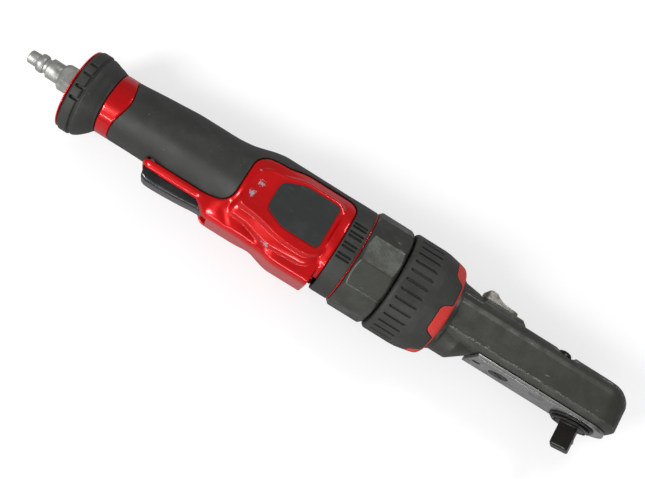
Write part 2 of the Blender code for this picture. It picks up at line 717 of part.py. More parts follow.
def build_housing():
    housing = handle_form("handle_housing", RED, 0.0, front_trim=-HOUSING_RIM)
    core = [
        oval(x, BAND_BACK, BAND_FRONT, BAND_SIDE, RUBBER) for x in (REAR_FACE, BAND_REAR + CUT_PAST)
    ]
    combine(housing, loft("rear_core", core, None), "UNION")
    offset = (0, (BOOT_BACK - BOOT_FRONT) / 2, 0)
    flange_front = REAR_FACE + REAR_FLANGE_LENGTH
    flange = rod("rear_flange", REAR_FACE, flange_front, REAR_FLANGE_RADIUS, None, offset, steps=FINE)
    combine(housing, flange, "UNION")
    nose = rod("nose", RING_REAR, NOSE_FRONT, SPIGOT_FLANGE_RADIUS - GAP, None, steps=FINE)
    combine(housing, nose, "UNION")
    channel = handle_form("rubber_channel", None, 0.0, rear_trim=BAND_LENGTH, grow=CUT_PAST)
    combine(channel, handle_form("channel_core", None, RUBBER, -2 * CUT_PAST, -2 * CUT_PAST))
    combine(channel, prism("red_region", [red_outline(0.0)], -0.06, 0.06, None))
    combine(housing, channel)
    combine(housing, keel("keel"), "UNION")

    level = PLATE_HEIGHT - PLATE_THICKNESS - GAP
    for side in (1, -1):
        for margin, top in ((2.6 * PLATFORM_MARGIN, level - PLATFORM_STEP), (PLATFORM_MARGIN, level)):
            low, high = sorted((side * 0.0120, side * top))
            step = prism("platform", [plate_outline(margin)], low, high, None)
            combine(housing, step, "UNION")
        low, high = sorted((side * level, side * 0.0400))
        combine(housing, prism("platform_top", [plate_outline(PLATFORM_MARGIN - 0.0002)], low, high, None))

    inlet = PLUG_THREAD_RADIUS + INLET_WALL + 2 * GAP
    step = INLET_REAR + INLET_LENGTH + GAP
    profile = [(REAR_FACE - CUT_PAST, 0), (REAR_FACE - CUT_PAST, inlet), (step, inlet)]
    profile += [(step, AIRWAY_RADIUS), (VALVE_X + 0.0080, AIRWAY_RADIUS), (VALVE_X + 0.0080, 0)]
    combine(housing, turned("airway", profile, None, steps=SMALL))
    combine(housing, rod("motor_bore", BORE_REAR, NOSE_FRONT + CUT_PAST, MOTOR_BORE, None, steps=FINE))
    feed = rod("feed", VALVE_X + 0.0040, BORE_REAR + CUT_PAST, 0.0030, None, (0, 0.0062, 0), steps=SMALL)
    combine(housing, feed)
    recess_front = LEVER_PIVOT_X + 0.0042
    recess = box(
        "lever_recess", (LEVER_REAR - 0.0008, -0.0500, -LEVER_HALF_WIDTH - 2 * GAP),
        (recess_front, -RECESS_FLOOR, LEVER_HALF_WIDTH + 2 * GAP),
    )
    combine(housing, recess)
    valve = rod("valve_bore", -RECESS_FLOOR - CUT_PAST, VALVE_BORE_TOP, VALVE_BORE_RADIUS, None,
                (VALVE_X, 0, 0), Y_AXIS, SMALL)
    combine(housing, valve)
    reach = LEVER_HALF_WIDTH + LEVER_PIN_GRIP + GAP
    pin = rod("pin_bore", -reach, reach, LEVER_PIN_RADIUS + GAP, None,
              (LEVER_PIVOT_X, -LEVER_PIVOT_DEPTH, 0), Matrix(), SMALL)
    combine(housing, pin)
    outlet = box(
        "outlet", (HUMP_FRONT - OUTLET_LENGTH, -HUMP_DEPTH + 0.0018, -OUTLET_HALF_WIDTH),
        (HUMP_FRONT + CUT_PAST, -MOTOR_BORE + 0.0008, OUTLET_HALF_WIDTH),
    )
    combine(housing, outlet)
    felt_rear = HUMP_FRONT - OUTLET_LENGTH + GAP
    box(
        "exhaust_felt", (felt_rear, -HUMP_DEPTH + 0.0018 + GAP, -OUTLET_HALF_WIDTH + GAP),
        (felt_rear + FELT_THICKNESS, -MOTOR_BORE - GAP, OUTLET_HALF_WIDTH - GAP), FELT,
    )
    prism("data_plate", [plate_outline(0.0)], level + GAP, PLATE_HEIGHT, PLATE_BLACK)


def build_throttle():
    pivot = Vector((LEVER_PIVOT_X, -LEVER_PIVOT_DEPTH, 0))
    deep = -(LEVER_DEPTH - LEVER_PIVOT_DEPTH)
    top = LEVER_PIVOT_DEPTH - LEVER_TOP
    rear = -LEVER_LENGTH
    outline = [(rear, top - 0.0006), (rear + 0.0010, top)]
    outline += arc(0.0032, pi / 2, -pi / 2, 8)
    outline += [(-0.0060, deep + 0.0012), (-0.0160, deep + 0.0004), (-0.0250, deep)]
    outline += arc(0.0030, -pi / 2, -pi * 0.86, 4, (rear + 0.0042, deep + 0.0030))
    lever = prism("throttle_lever", [outline], -LEVER_HALF_WIDTH, LEVER_HALF_WIDTH, GLOSS_BLACK, at=pivot)
    bevel(lever, 0.0012, 2, radians(40))
    floor = deep + LEVER_WALL
    pocket = box(
        "lever_pocket", (rear + 0.0040, floor, -LEVER_HALF_WIDTH + LEVER_WALL),
        (-0.0050, top + CUT_PAST, LEVER_HALF_WIDTH - LEVER_WALL), at=pivot,
    )
    combine(lever, pocket)
    eye = rod("lever_eye", -0.0200, 0.0200, LEVER_PIN_RADIUS + GAP, None, pivot, Matrix(), SMALL)
    combine(lever, eye)
    reach = LEVER_HALF_WIDTH + LEVER_PIN_GRIP
    rod("lever_pin", -reach, reach, LEVER_PIN_RADIUS, BARE_STEEL, pivot, Matrix(), SMALL)

    seat = (VALVE_X, 0, 0)
    sleeve_top = -RECESS_FLOOR + 0.0055
    ring("valve_bushing", -RECESS_FLOOR, sleeve_top, VALVE_STEM_RADIUS + GAP, VALVE_BORE_RADIUS - GAP,
         BRONZE, seat, Y_AXIS, SMALL)
    tip = -LEVER_PIVOT_DEPTH + floor + GAP
    head_low = sleeve_top + GAP
    head_high = head_low + 0.0016
    profile = [(tip, 0), (tip, VALVE_STEM_RADIUS), (head_low, VALVE_STEM_RADIUS)]
    profile += [(head_low, VALVE_HEAD_RADIUS), (head_high, VALVE_HEAD_RADIUS), (head_high, 0)]
    turned("valve_stem", profile, BARE_STEEL, seat, Y_AXIS, SMALL)
    low = head_high + GAP + SPRING_WIRE / 2
    high = VALVE_BORE_TOP - GAP - SPRING_WIRE / 2
    count = 10 * SPRING_TURNS
    coil_radius = VALVE_HEAD_RADIUS - SPRING_WIRE
    wire = bpy.data.curves.new("valve_spring", "CURVE")
    wire.dimensions = "3D"
    wire.bevel_depth = SPRING_WIRE / 2
    wire.bevel_resolution = 1
    wire.use_fill_caps = True
    spline = wire.splines.new("POLY")
    spline.points.add(count)
    for i, point in enumerate(spline.points):
        angle = 2 * pi * i / 10
        height = low + (high - low) * i / count
        point.co = (coil_radius * cos(angle), height, coil_radius * sin(angle), 1)
    put("valve_spring", wire, BARE_STEEL, seat)


def bearing(name, low, inner, outer, length, at=(0, 0, 0)):
    """A ball race with the groove between its rings on both faces."""
    high = low + length
    wall = (outer - inner) / 3
    dip = 0.0006
    profile = [(low, inner), (low, inner + wall), (low + dip, inner + wall), (low + dip, outer - wall)]
    profile += [(low, outer - wall), (low, outer), (high, outer), (high, outer - wall)]
    profile += [(high - dip, outer - wall), (high - dip, inner + wall), (high, inner + wall), (high, inner)]
    return turned(name, profile, BARE_STEEL, at, steps=SMALL, loop=True)


def build_motor():
    radius = MOTOR_BORE - GAP
    seat = BEARING_RADIUS + GAP
    low = REAR_PLATE_REAR
    high = low + END_PLATE_LENGTH
    floor = low + BEARING_LENGTH + 2 * GAP
    profile = [(low, seat), (low, radius), (high, radius), (high, REAR_SHAFT_RADIUS + GAP)]
    profile += [(floor, REAR_SHAFT_RADIUS + GAP), (floor, seat)]
    turned("rear_end_plate", profile, BARE_STEEL, loop=True)
    bearing("rear_bearing", low + GAP, REAR_SHAFT_RADIUS + GAP, BEARING_RADIUS, BEARING_LENGTH)

    low = FRONT_PLATE_REAR
    high = FRONT_PLATE_FRONT
    floor = high - BEARING_LENGTH - 2 * GAP
    profile = [(low, FRONT_SHAFT_RADIUS + GAP), (low, radius), (high, radius), (high, seat)]
    profile += [(floor, seat), (floor, FRONT_SHAFT_RADIUS + GAP)]
    turned("front_end_plate", profile, BARE_STEEL, loop=True)
    bearing("front_bearing", floor + GAP, FRONT_SHAFT_RADIUS + GAP, BEARING_RADIUS, BEARING_LENGTH)

    prism(
        "motor_liner", [circle(radius, FINE), circle(LINER_BORE, FINE, (LINER_OFFSET, 0))],
        LINER_REAR, LINER_FRONT, BARE_STEEL, ALONG_X,
    )
    slot = VANE_THICKNESS / 2 + GAP
    floor = ROTOR_RADIUS - VANE_DEPTH - 2 * GAP
    outline = []
    for k in range(VANES):
        middle = 2 * pi * k / VANES
        half = slot / ROTOR_RADIUS
        mouth = ROTOR_RADIUS * cos(half)
        for u, v in ((mouth, -slot), (floor, -slot), (floor, slot), (mouth, slot)):
            outline.append((u * cos(middle) - v * sin(middle), u * sin(middle) + v * cos(middle)))
        outline += arc(ROTOR_RADIUS, middle + 2 * half, middle + 2 * pi / VANES - 2 * half, 6)
    body_low = LINER_REAR + GAP
    body_high = LINER_FRONT - GAP
    rotor = prism("rotor", [outline], body_low, body_high, BARE_STEEL, ALONG_X)
    profile = [(REAR_PLATE_REAR + GAP, 0), (REAR_PLATE_REAR + GAP, REAR_SHAFT_RADIUS)]
    profile += [(body_low + 0.0010, REAR_SHAFT_RADIUS), (body_low + 0.0010, FRONT_SHAFT_RADIUS)]
    profile += [(GEAR_REAR + 0.0010, FRONT_SHAFT_RADIUS), (GEAR_REAR + 0.0010, 0)]
    combine(rotor, turned("rotor_shaft", profile, None, steps=SMALL), "UNION")
    pinion = prism("sun_pinion", [gear_outline(SUN_TEETH, SUN_PITCH)], GEAR_REAR, GEAR_FRONT, None, ALONG_X)
    combine(rotor, pinion, "UNION")
    for k in range(VANES):
        box(
            f"vane_{k + 1}", (body_low, ROTOR_RADIUS - GAP - VANE_DEPTH, -VANE_THICKNESS / 2),
            (body_high, ROTOR_RADIUS - GAP, VANE_THICKNESS / 2), VANE_RESIN,
            turn=Matrix.Rotation(2 * pi * k / VANES, 4, "X"),
        )


def build_gears():
    ring_pitch = RING_TEETH * GEAR_MODULE / 2
    inner = gear_outline(RING_TEETH, ring_pitch, inward=True, phase=pi / RING_TEETH)
    prism(
        "ring_gear", [circle(MOTOR_BORE - GAP, FINE), inner], RING_GEAR_REAR, GEAR_FRONT, BARE_STEEL, ALONG_X,
    )
    pin_low = GEAR_REAR - 0.0004
    low = CARRIER_REAR
    shaft_end = CRANK_PIN_REAR
    carrier = PLANET_ORBIT + PLANET_PIN_RADIUS + 0.0030
    profile = [(low, 0), (low, carrier), (CARRIER_FRONT, carrier), (CARRIER_FRONT, CRANK_RADIUS + 0.0012)]
    profile += [(BEARING_REAR, CRANK_RADIUS + 0.0012), (BEARING_REAR, CRANK_RADIUS)]
    profile += [(shaft_end, CRANK_RADIUS), (shaft_end, 0)]
    crank = turned("crankshaft", profile, BARE_STEEL)
    throw = rod("crank_pin", shaft_end - 0.0010, shaft_end + CRANK_PIN_LENGTH, CRANK_PIN_RADIUS, None,
                (0, 0, CRANK_THROW), steps=SMALL)
    combine(crank, throw, "UNION")
    for k in range(PLANETS):
        angle = 2 * pi * k / PLANETS
        centre = (0, PLANET_ORBIT * cos(angle), PLANET_ORBIT * sin(angle))
        teeth = gear_outline(PLANET_TEETH, PLANET_PITCH, phase=angle + pi + pi / PLANET_TEETH)
        prism(
            f"planet_gear_{k + 1}", [teeth, circle(PLANET_PIN_RADIUS + GAP, SMALL)], GEAR_REAR, GEAR_FRONT,
            BARE_STEEL, ALONG_X, centre,
        )
        pin = f"planet_pin_{k + 1}"
        rod(pin, pin_low, CARRIER_FRONT, PLANET_PIN_RADIUS, BLACK_OXIDE, centre, steps=SMALL)
        eye = rod("pin_eye", CARRIER_REAR - CUT_PAST, CARRIER_FRONT + CUT_PAST, PLANET_PIN_RADIUS + GAP, None,
                  centre, steps=SMALL)
        combine(crank, eye)
    bearing("crank_rear_bearing", BEARING_REAR + GAP, CRANK_RADIUS + GAP, CRANK_BEARING_RADIUS,
            CRANK_BEARING_LENGTH)
    ring("crank_front_bush", BUSH_REAR, BUSH_FRONT, CRANK_RADIUS + GAP, CRANK_RADIUS + BUSH_WALL, BRONZE,
         steps=SMALL)
    ring("drive_bushing", shaft_end + GAP, shaft_end + GAP + DRIVE_BUSH_LENGTH, CRANK_PIN_RADIUS + GAP / 2,
         DRIVE_BUSH_RADIUS, BRONZE, (0, 0, CRANK_THROW), steps=SMALL)


def build_nut():
    twelve = circle(NUT_CORNER_RADIUS, NUT_SIDES)
    clock = Matrix.Rotation(pi / 2 + NUT_CLOCK, 4, "X")
    nut = prism("clamp_nut", [twelve], NUT_REAR, NUT_FRONT, NUT_STEEL, clock @ ALONG_X)
    flats = NUT_CORNER_RADIUS * cos(pi / NUT_SIDES)
    low = NUT_REAR - GAP
    high = NUT_FRONT + GAP
    rise = NUT_CORNER_RADIUS - flats + 0.0008
    chamfer = [(low, 0), (low, flats - 0.0008), (low + NUT_CHAMFER + GAP, flats - 0.0008 + rise)]
    chamfer += [(high - NUT_CHAMFER - GAP, flats - 0.0008 + rise), (high, flats - 0.0008), (high, 0)]
    combine(nut, turned("nut_chamfer", chamfer, None, steps=48), "INTERSECT")
    shoulder = NUT_FRONT - NUT_LIP
    bore = [(NUT_REAR - CUT_PAST, 0), (NUT_REAR - CUT_PAST, SPIGOT_FLANGE_RADIUS + GAP)]
    bore += [(shoulder, SPIGOT_FLANGE_RADIUS + GAP), (shoulder, SPIGOT_RADIUS + GAP)]
    bore += [(NUT_FRONT + CUT_PAST, SPIGOT_RADIUS + GAP), (NUT_FRONT + CUT_PAST, 0)]
    combine(nut, turned("nut_bore", bore, None, steps=FINE))


def collar_profile():
    """The collar's section: a straight rear, a taper and a rounded mouth."""
    bore = SPIGOT_RADIUS + GAP
    taper = COLLAR_FRONT - 0.0026
    return [
        (COLLAR_REAR, bore),
        (COLLAR_REAR, COLLAR_RADIUS - 0.0010),
        (COLLAR_REAR + 0.0010, COLLAR_RADIUS),
        (COLLAR_REAR + COLLAR_STRAIGHT, COLLAR_RADIUS),
        (taper, COLLAR_FRONT_RADIUS),
        (COLLAR_FRONT - 0.0006, COLLAR_FRONT_RADIUS - 0.0016),
        (COLLAR_FRONT, COLLAR_MOUTH_RADIUS),
        (COLLAR_FRONT, bore),
    ]


def trim_region(name, grow):
    """The front line and its pads, which the red trim keeps and the rubber leaves free."""
    line = COLLAR_FRONT - TRIM_LINE - grow
    inner = SPIGOT_RADIUS - CUT_PAST
    outer = COLLAR_RADIUS + CUT_PAST
    region = ring(name, line, COLLAR_FRONT + CUT_PAST, inner, outer, None, steps=FINE)
    rear = COLLAR_FRONT - TRIM_PAD_LENGTH - grow
    narrow = COLLAR_FRONT_RADIUS * TRIM_NARROW + grow
    wide = COLLAR_FRONT_RADIUS * TRIM_WIDE + grow
    outline = [(rear, -narrow), (line + CUT_PAST / 4, -wide), (line + CUT_PAST / 4, wide), (rear, narrow)]
    low = SPIGOT_RADIUS + 0.0022 - grow
    for k in range(TRIM_PADS):
        turn = Matrix.Rotation(TRIM_CLOCK + 2 * pi * k / TRIM_PADS, 4, "X")
        combine(region, prism("trim_pad", [outline], low, outer, None, turn), "UNION")
    return region


def build_collar():
    facet_down = X_AXIS @ Matrix.Rotation(pi / COLLAR_FACETS, 4, "Z")
    profile = collar_profile()
    collar = turned("head_collar", profile, BLACK_RUBBER, turn=facet_down, steps=COLLAR_FACETS, loop=True)
    combine(collar, trim_region("trim_room", GAP))
    low = COLLAR_REAR + 0.0032
    for k in range(COLLAR_GROOVES):
        turn = Matrix.Rotation(COLLAR_CLOCK + 2 * pi * k / COLLAR_GROOVES, 4, "X")
        groove = box(
            "collar_groove", (low, -COLLAR_GROOVE_WIDTH / 2, COLLAR_RADIUS - COLLAR_GROOVE_DEPTH),
            (low + COLLAR_GROOVE_LENGTH, COLLAR_GROOVE_WIDTH / 2, COLLAR_RADIUS + 0.0030), turn=turn,
        )
        combine(collar, groove)
    trim = turned("collar_trim", profile, TRIM_RED, turn=facet_down, steps=COLLAR_FACETS, loop=True)
    combine(trim, trim_region("trim_keep", 0.0), "INTERSECT")


def head_plan(y, inset):
    """The head seen along Y: straight sides and a round nose, drawn in by the chamfers."""
    half = HEAD_HALF_WIDTH - inset
    nose = arc(half, -pi / 2, pi / 2, 14, (NOSE_CENTRE, 0))
    points = [(NECK_REAR + 0.0030, -half)] + nose + [(NECK_REAR + 0.0030, half)]
    return [(x, y, z) for x, z in points]


def build_head():
    rings = [
        head_plan(-HEAD_FACE, FACE_CHAMFER),
        head_plan(-HEAD_FACE + FACE_CHAMFER_DEPTH, 0.0),
        head_plan(HEAD_BACK - BACK_CHAMFER_DEPTH, 0.0),
        head_plan(HEAD_BACK - 0.35 * BACK_CHAMFER_DEPTH, 0.38 * BACK_CHAMFER),
        head_plan(HEAD_BACK, BACK_CHAMFER),
    ]
    head = loft("head_housing", rings, GUNMETAL)
    slope_end = NECK_FRONT + NECK_SLOPE
    neck = [
        oval(NECK_REAR, SPIGOT_RADIUS, SPIGOT_RADIUS, SPIGOT_RADIUS, 0.0002),
        oval(NECK_REAR + 0.0030, SPIGOT_RADIUS - 0.0004, NECK_DEPTH, HEAD_HALF_WIDTH - 0.0003),
        oval(NECK_FRONT, SPIGOT_RADIUS - 0.0016, NECK_DEPTH, HEAD_HALF_WIDTH - 0.0016),
        oval(slope_end, HEAD_BACK - 0.0008, HEAD_FACE - 0.0012, HEAD_HALF_WIDTH - 0.0050),
    ]
    combine(head, loft("neck", neck, None), "UNION")
    spigot = [(FLANGE_REAR, 0), (FLANGE_REAR, SPIGOT_FLANGE_RADIUS), (FLANGE_FRONT, SPIGOT_FLANGE_RADIUS)]
    spigot += [(FLANGE_FRONT, SPIGOT_RADIUS), (NECK_REAR + 0.0020, SPIGOT_RADIUS), (NECK_REAR + 0.0020, 0)]
    combine(head, turned("spigot", spigot, None, steps=FINE), "UNION")
    boss_rear = NECK_FRONT + 0.0030
    side = [(boss_rear, 0.0050), (boss_rear, BOSS_HEIGHT), (boss_rear + BOSS_LENGTH - 0.0050, BOSS_HEIGHT)]
    side += [(boss_rear + BOSS_LENGTH, HEAD_BACK - 0.0010), (boss_rear + BOSS_LENGTH, 0.0050)]
    boss = prism("reverse_boss", [side], -BOSS_HALF_WIDTH, BOSS_HALF_WIDTH, None)
    combine(head, bevel(boss, 0.0012), "UNION")

    carrier_room = BEARING_REAR - GAP
    bore = [(FLANGE_REAR - CUT_PAST, 0), (FLANGE_REAR - CUT_PAST, MOTOR_BORE), (carrier_room, MOTOR_BORE)]
    bearing_end = BEARING_FRONT + 2 * GAP
    bore += [(carrier_room, CRANK_BEARING_RADIUS + GAP), (bearing_end, CRANK_BEARING_RADIUS + GAP)]
    bush = CRANK_RADIUS + BUSH_WALL + GAP
    shaft = CRANK_RADIUS + 2 * GAP
    bore += [(bearing_end, bush), (BUSH_FRONT + GAP, bush), (BUSH_FRONT + GAP, shaft)]
    bore += [(CAVITY_START + CUT_PAST, shaft), (CAVITY_START + CUT_PAST, 0)]
    combine(head, turned("crank_bore", bore, None))
    plan = arc(CAVITY_HALF_WIDTH, -pi / 2, pi / 2, 16, (ANVIL_X, 0))
    plan += [(CAVITY_START, CAVITY_HALF_WIDTH), (CAVITY_START, -CAVITY_HALF_WIDTH)]
    combine(head, prism("yoke_cavity", [plan], -CAVITY_TOP, HEAD_FACE + CUT_PAST, None, ALONG_Y))
    anvil = (ANVIL_X, 0, 0)
    deep = CAVITY_TOP + ANVIL_TOP_LENGTH + GAP
    journal = ANVIL_TOP_RADIUS + GAP
    hole = rod("journal_bore", CAVITY_TOP - CUT_PAST, deep, journal, None, anvil, Y_AXIS, SMALL)
    combine(head, hole)
    grease_x = ANVIL_X - GREASE_SETBACK
    seat = HEAD_BACK - GREASE_SEAT_DEPTH
    pocket = [(seat - 0.0030, 0), (seat - 0.0030, GREASE_RADIUS - 0.0014), (seat, GREASE_RADIUS - 0.0014)]
    mouth = HEAD_BACK + CUT_PAST
    pocket += [(seat, GREASE_SEAT_RADIUS), (mouth, GREASE_SEAT_RADIUS), (mouth, 0)]
    combine(head, turned("grease_pocket", pocket, None, (grease_x, 0, GREASE_OFFSET), Y_AXIS, SMALL))
    shank = GREASE_RADIUS - 0.0014 - GAP
    foot = seat - 0.0030 + GAP
    dome = [(foot, 0), (foot, shank), (seat + GAP, shank), (seat + GAP, GREASE_RADIUS)]
    dome += [(seat + 0.0016, GREASE_RADIUS), (seat + 0.0028, 0.82 * GREASE_RADIUS)]
    dome += [(seat + 0.0035, 0.48 * GREASE_RADIUS), (seat + 0.0037, 0)]
    turned("grease_plug", dome, BLACK_OXIDE, (grease_x, 0, GREASE_OFFSET), Y_AXIS, SMALL)
    build_cover(head)
    build_reverse(head, boss_rear)


def build_cover(head):
    plan = arc(COVER_HALF_WIDTH, -pi / 2, pi / 2, 16, (NOSE_CENTRE, 0))
    plan += [(COVER_REAR, COVER_HALF_WIDTH), (COVER_REAR, -COVER_HALF_WIDTH)]
    screw_x = COVER_REAR + COVER_SCREW_SETBACK
    plug_x = COVER_REAR + COVER_PLUG_SETBACK
    sleeve = ANVIL_JOURNAL_RADIUS + GAP + BUSHING_WALL
    holes = [
        circle(sleeve + GAP, ROUND, (ANVIL_X, 0)),
        circle(COVER_SCREW_RADIUS + GAP, SMALL, (screw_x, 0)),
        circle(COVER_PLUG_RADIUS + GAP, SMALL, (plug_x, 0)),
    ]
    prism("anvil_cover_plate", [plan] + holes, COVER_TOP, COVER_FACE, BARE_STEEL, ALONG_Y)
    relief = prism(
        "cover_relief",
        [[(COVER_REAR - GAP, -0.03), (COVER_REAR - GAP, 0.03), (HEAD_FRONT, 0.03), (HEAD_FRONT, -0.03)]],
        HEAD_FACE, 0.0300, None, ALONG_Y,
    )
    combine(head, relief)
    shank = COVER_SCREW_RADIUS - 0.0007
    depth = COVER_FACE - CRANK_RADIUS - 5 * GAP
    profile = [(-COVER_FACE, 0), (-COVER_FACE, COVER_SCREW_RADIUS), (-COVER_TOP, COVER_SCREW_RADIUS)]
    profile += [(-COVER_TOP, shank), (-COVER_FACE + depth, shank), (-COVER_FACE + depth, 0)]
    turned("cover_screw", profile, BLACK_OXIDE, (screw_x, 0, 0), Y_AXIS, SMALL)
    screw_at = (screw_x, 0, 0)
    bottom = -COVER_FACE + depth + GAP
    hole = rod("screw_hole", -HEAD_FACE - CUT_PAST, bottom, shank + GAP, None, screw_at, Y_AXIS, SMALL)
    combine(head, hole)
    plug_at = (plug_x, 0, 0)
    plug = rod("cover_plug", -COVER_FACE, -COVER_TOP, COVER_PLUG_RADIUS, BLACK_OXIDE, plug_at, Y_AXIS, SMALL)
    slot_low = (-0.0034, -COVER_FACE - CUT_PAST, -0.0005)
    slot_high = (0.0034, -COVER_FACE + 0.0007, 0.0005)
    slot = box("plug_slot", slot_low, slot_high, None, plug_at, Matrix.Rotation(radians(30), 4, "Y"))
    combine(plug, slot)
    profile = [(-FLANGE_FACE, ANVIL_JOURNAL_RADIUS + GAP), (-FLANGE_FACE, BUSHING_FLANGE_RADIUS - 0.0003)]
    profile += [(-FLANGE_FACE + 0.0003, BUSHING_FLANGE_RADIUS), (-COVER_FACE - GAP, BUSHING_FLANGE_RADIUS)]
    profile += [(-COVER_FACE - GAP, sleeve), (-COVER_TOP, sleeve), (-COVER_TOP, ANVIL_JOURNAL_RADIUS + GAP)]
    turned("anvil_bushing", profile, BARE_STEEL, (ANVIL_X, 0, 0), Y_AXIS, loop=True)


def build_reverse(head, boss_rear):
    pivot_x = boss_rear + REVERSE_LENGTH - 0.0055
    pivot = (pivot_x, 0, 0)
    base = BOSS_HEIGHT + GAP
    rear = -(REVERSE_LENGTH - 0.0055)
    front = 0.0055
    side = [(rear, base + 0.0006), (rear + 0.0006, base), (front, base), (front, base + REVERSE_THICKNESS)]
    side += [(0.0010, base + REVERSE_THICKNESS + 0.0004), (rear + 0.0060, base + REVERSE_TAB_HEIGHT + 0.0014)]
    side += [(rear + 0.0024, base + REVERSE_TAB_HEIGHT + 0.0020), (rear, base + REVERSE_TAB_HEIGHT)]
    lever = prism("reverse_lever", [side], -REVERSE_HALF_WIDTH, REVERSE_HALF_WIDTH, BARE_STEEL, at=pivot)
    bevel(lever, 0.0007, 2, radians(40))
    eye = rod("reverse_eye", 0.0, 0.0400, REVERSE_PIN_RADIUS + GAP, None, pivot, Y_AXIS, SMALL)
    combine(lever, eye)
    low = BOSS_HEIGHT - REVERSE_PIN_LENGTH
    top = base + REVERSE_THICKNESS
    rod("reverse_pin", low, top, REVERSE_PIN_RADIUS, BLACK_OXIDE, pivot, Y_AXIS, SMALL)
    mouth = BOSS_HEIGHT + CUT_PAST
    hole = rod("reverse_pin_hole", low - GAP, mouth, REVERSE_PIN_RADIUS + GAP, None, pivot, Y_AXIS, SMALL)
    combine(head, hole)


def build_ratchet():
    anvil_at = (ANVIL_X, 0, 0)
    drum = YOKE_TIP_RADIUS - GAP
    top = CAVITY_TOP - GAP
    turn = Matrix.Rotation(-SQUARE_CLOCK, 4, "Y")
    profile = [(-SQUARE_TOP, 0), (-SQUARE_TOP, ANVIL_JOURNAL_RADIUS - 0.0006)]
    profile += [(-SQUARE_TOP + 0.0006, ANVIL_JOURNAL_RADIUS), (-COVER_TOP, ANVIL_JOURNAL_RADIUS)]
    profile += [(-COVER_TOP, drum), (top, drum), (top, ANVIL_TOP_RADIUS)]
    end = CAVITY_TOP + ANVIL_TOP_LENGTH - GAP
    profile += [(end, ANVIL_TOP_RADIUS), (end, 0)]
    anvil = turned("anvil", profile, BLACK_OXIDE, anvil_at, turn @ Y_AXIS)
    half = SQUARE_SIDE / 2
    root = -SQUARE_TOP + 0.0020
    square = box("square", (-half, -ANVIL_TIP, -half), (half, root, half), None, anvil_at, turn)
    combine(anvil, bevel(square, SQUARE_CHAMFER, 2), "UNION")
    slot = PAWL_HALF_WIDTH + PAWL_HALF_LENGTH * sin(PAWL_ROCK) + GAP
    tall = PAWL_THICKNESS / 2 + GAP
    combine(anvil, box("pawl_slot", (-0.0200, -tall, -slot), (0.0200, tall, slot), None, anvil_at, turn))
    pin_reach = PAWL_THICKNESS / 2 + 0.0030
    bore_reach = pin_reach + GAP
    eye = rod("pawl_pin_bore", -bore_reach, bore_reach, PAWL_PIN_RADIUS + GAP, None, anvil_at, Y_AXIS, SMALL)
    combine(anvil, eye)
    rod("pawl_pin", -pin_reach, pin_reach, PAWL_PIN_RADIUS, BARE_STEEL, anvil_at, Y_AXIS, SMALL)
    tip = PAWL_HALF_LENGTH
    width = PAWL_HALF_WIDTH
    outline = [(-tip, -width / 3), (-tip + 0.0016, -width), (tip - 0.0016, -width), (tip, -width / 3)]
    outline += [(tip, width / 3), (tip - 0.0016, width), (-tip + 0.0016, width), (-tip, width / 3)]
    prism(
        "pawl", [outline, circle(PAWL_PIN_RADIUS + GAP, SMALL)], -PAWL_THICKNESS / 2, PAWL_THICKNESS / 2,
        BARE_STEEL, turn @ ALONG_Y, anvil_at,
    )
    level = -ANVIL_TIP + BALL_FROM_TIP
    centre = half + BALL_PROUD - BALL_RADIUS
    work = bmesh.new()
    bmesh.ops.create_uvsphere(work, u_segments=14, v_segments=8, radius=BALL_RADIUS)
    bmesh.ops.translate(work, vec=(centre, level, 0), verts=work.verts)
    mesh = bpy.data.meshes.new("detent_ball")
    work.to_mesh(mesh)
    work.free()
    shade(mesh)
    put("detent_ball", mesh, BARE_STEEL, anvil_at, turn)
    depth = centre - BALL_RADIUS - 0.0011
    seat = rod("ball_seat", depth, half + CUT_PAST, BALL_RADIUS + GAP, None, (0, 0, 0), X_AXIS, SMALL)
    seat.matrix_basis = Matrix.Translation(anvil_at) @ turn @ Matrix.Translation((0, level, 0)) @ X_AXIS
    combine(anvil, seat)
    ring("retaining_ring", -RETAINER_FACE, -FLANGE_FACE - GAP, ANVIL_JOURNAL_RADIUS + GAP, RETAINER_RADIUS,
         BLACK_OXIDE, anvil_at, Y_AXIS)

    pitch = 2 * pi / YOKE_TEETH
    teeth = []
    for k in range(YOKE_TEETH):
        teeth.append((YOKE_TIP_RADIUS * cos(k * pitch), YOKE_TIP_RADIUS * sin(k * pitch)))
        root = YOKE_TIP_RADIUS + YOKE_TOOTH
        teeth.append((root * cos((k + 0.5) * pitch), root * sin((k + 0.5) * pitch)))
    arm_inner = DRIVE_BUSH_RADIUS + 2 * CRANK_THROW + GAP
    arm_outer = arm_inner + YOKE_ARM
    pin_x = CRANK_PIN_REAR + CRANK_PIN_LENGTH / 2 - ANVIL_X
    fork_end = pin_x - 0.0035
    throat = pin_x + DRIVE_BUSH_LENGTH / 2 + 0.0025
    lean = atan2(arm_outer, YOKE_RADIUS)
    outer = arc(YOKE_RADIUS, -pi + lean, pi - lean, 24)
    arm = [(throat + 0.0060, arm_outer), (fork_end, arm_outer), (fork_end, arm_inner), (throat, arm_inner)]
    outer += arm
    outer += [(x, -z) for x, z in reversed(arm)]
    prism("ratchet_yoke", [outer, teeth], -CAVITY_TOP + GAP, HEAD_FACE, BLACK_OXIDE, ALONG_Y, anvil_at)


build_inlet()
build_boot()
build_grip()
build_housing()
build_throttle()
build_motor()
build_gears()
build_nut()
build_collar()
build_head()
build_ratchet()
for part in PARTS.objects:
    if part.type == "MESH":
        shade(part.data)
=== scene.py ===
"""Looks of an air ratchet: rubber-clad red handle, dark clamp nut, ribbed collar and a slim ratchet head.

Sizes are in millimetres from the tip of the air plug, on the motor's axis. Each finished mesh is turned into
metres in the part's own frame when it is published.
"""

import json
import logging
from collections.abc import Sequence
from dataclasses import dataclass, field
from enum import Enum
from math import cos, pi, radians, sin

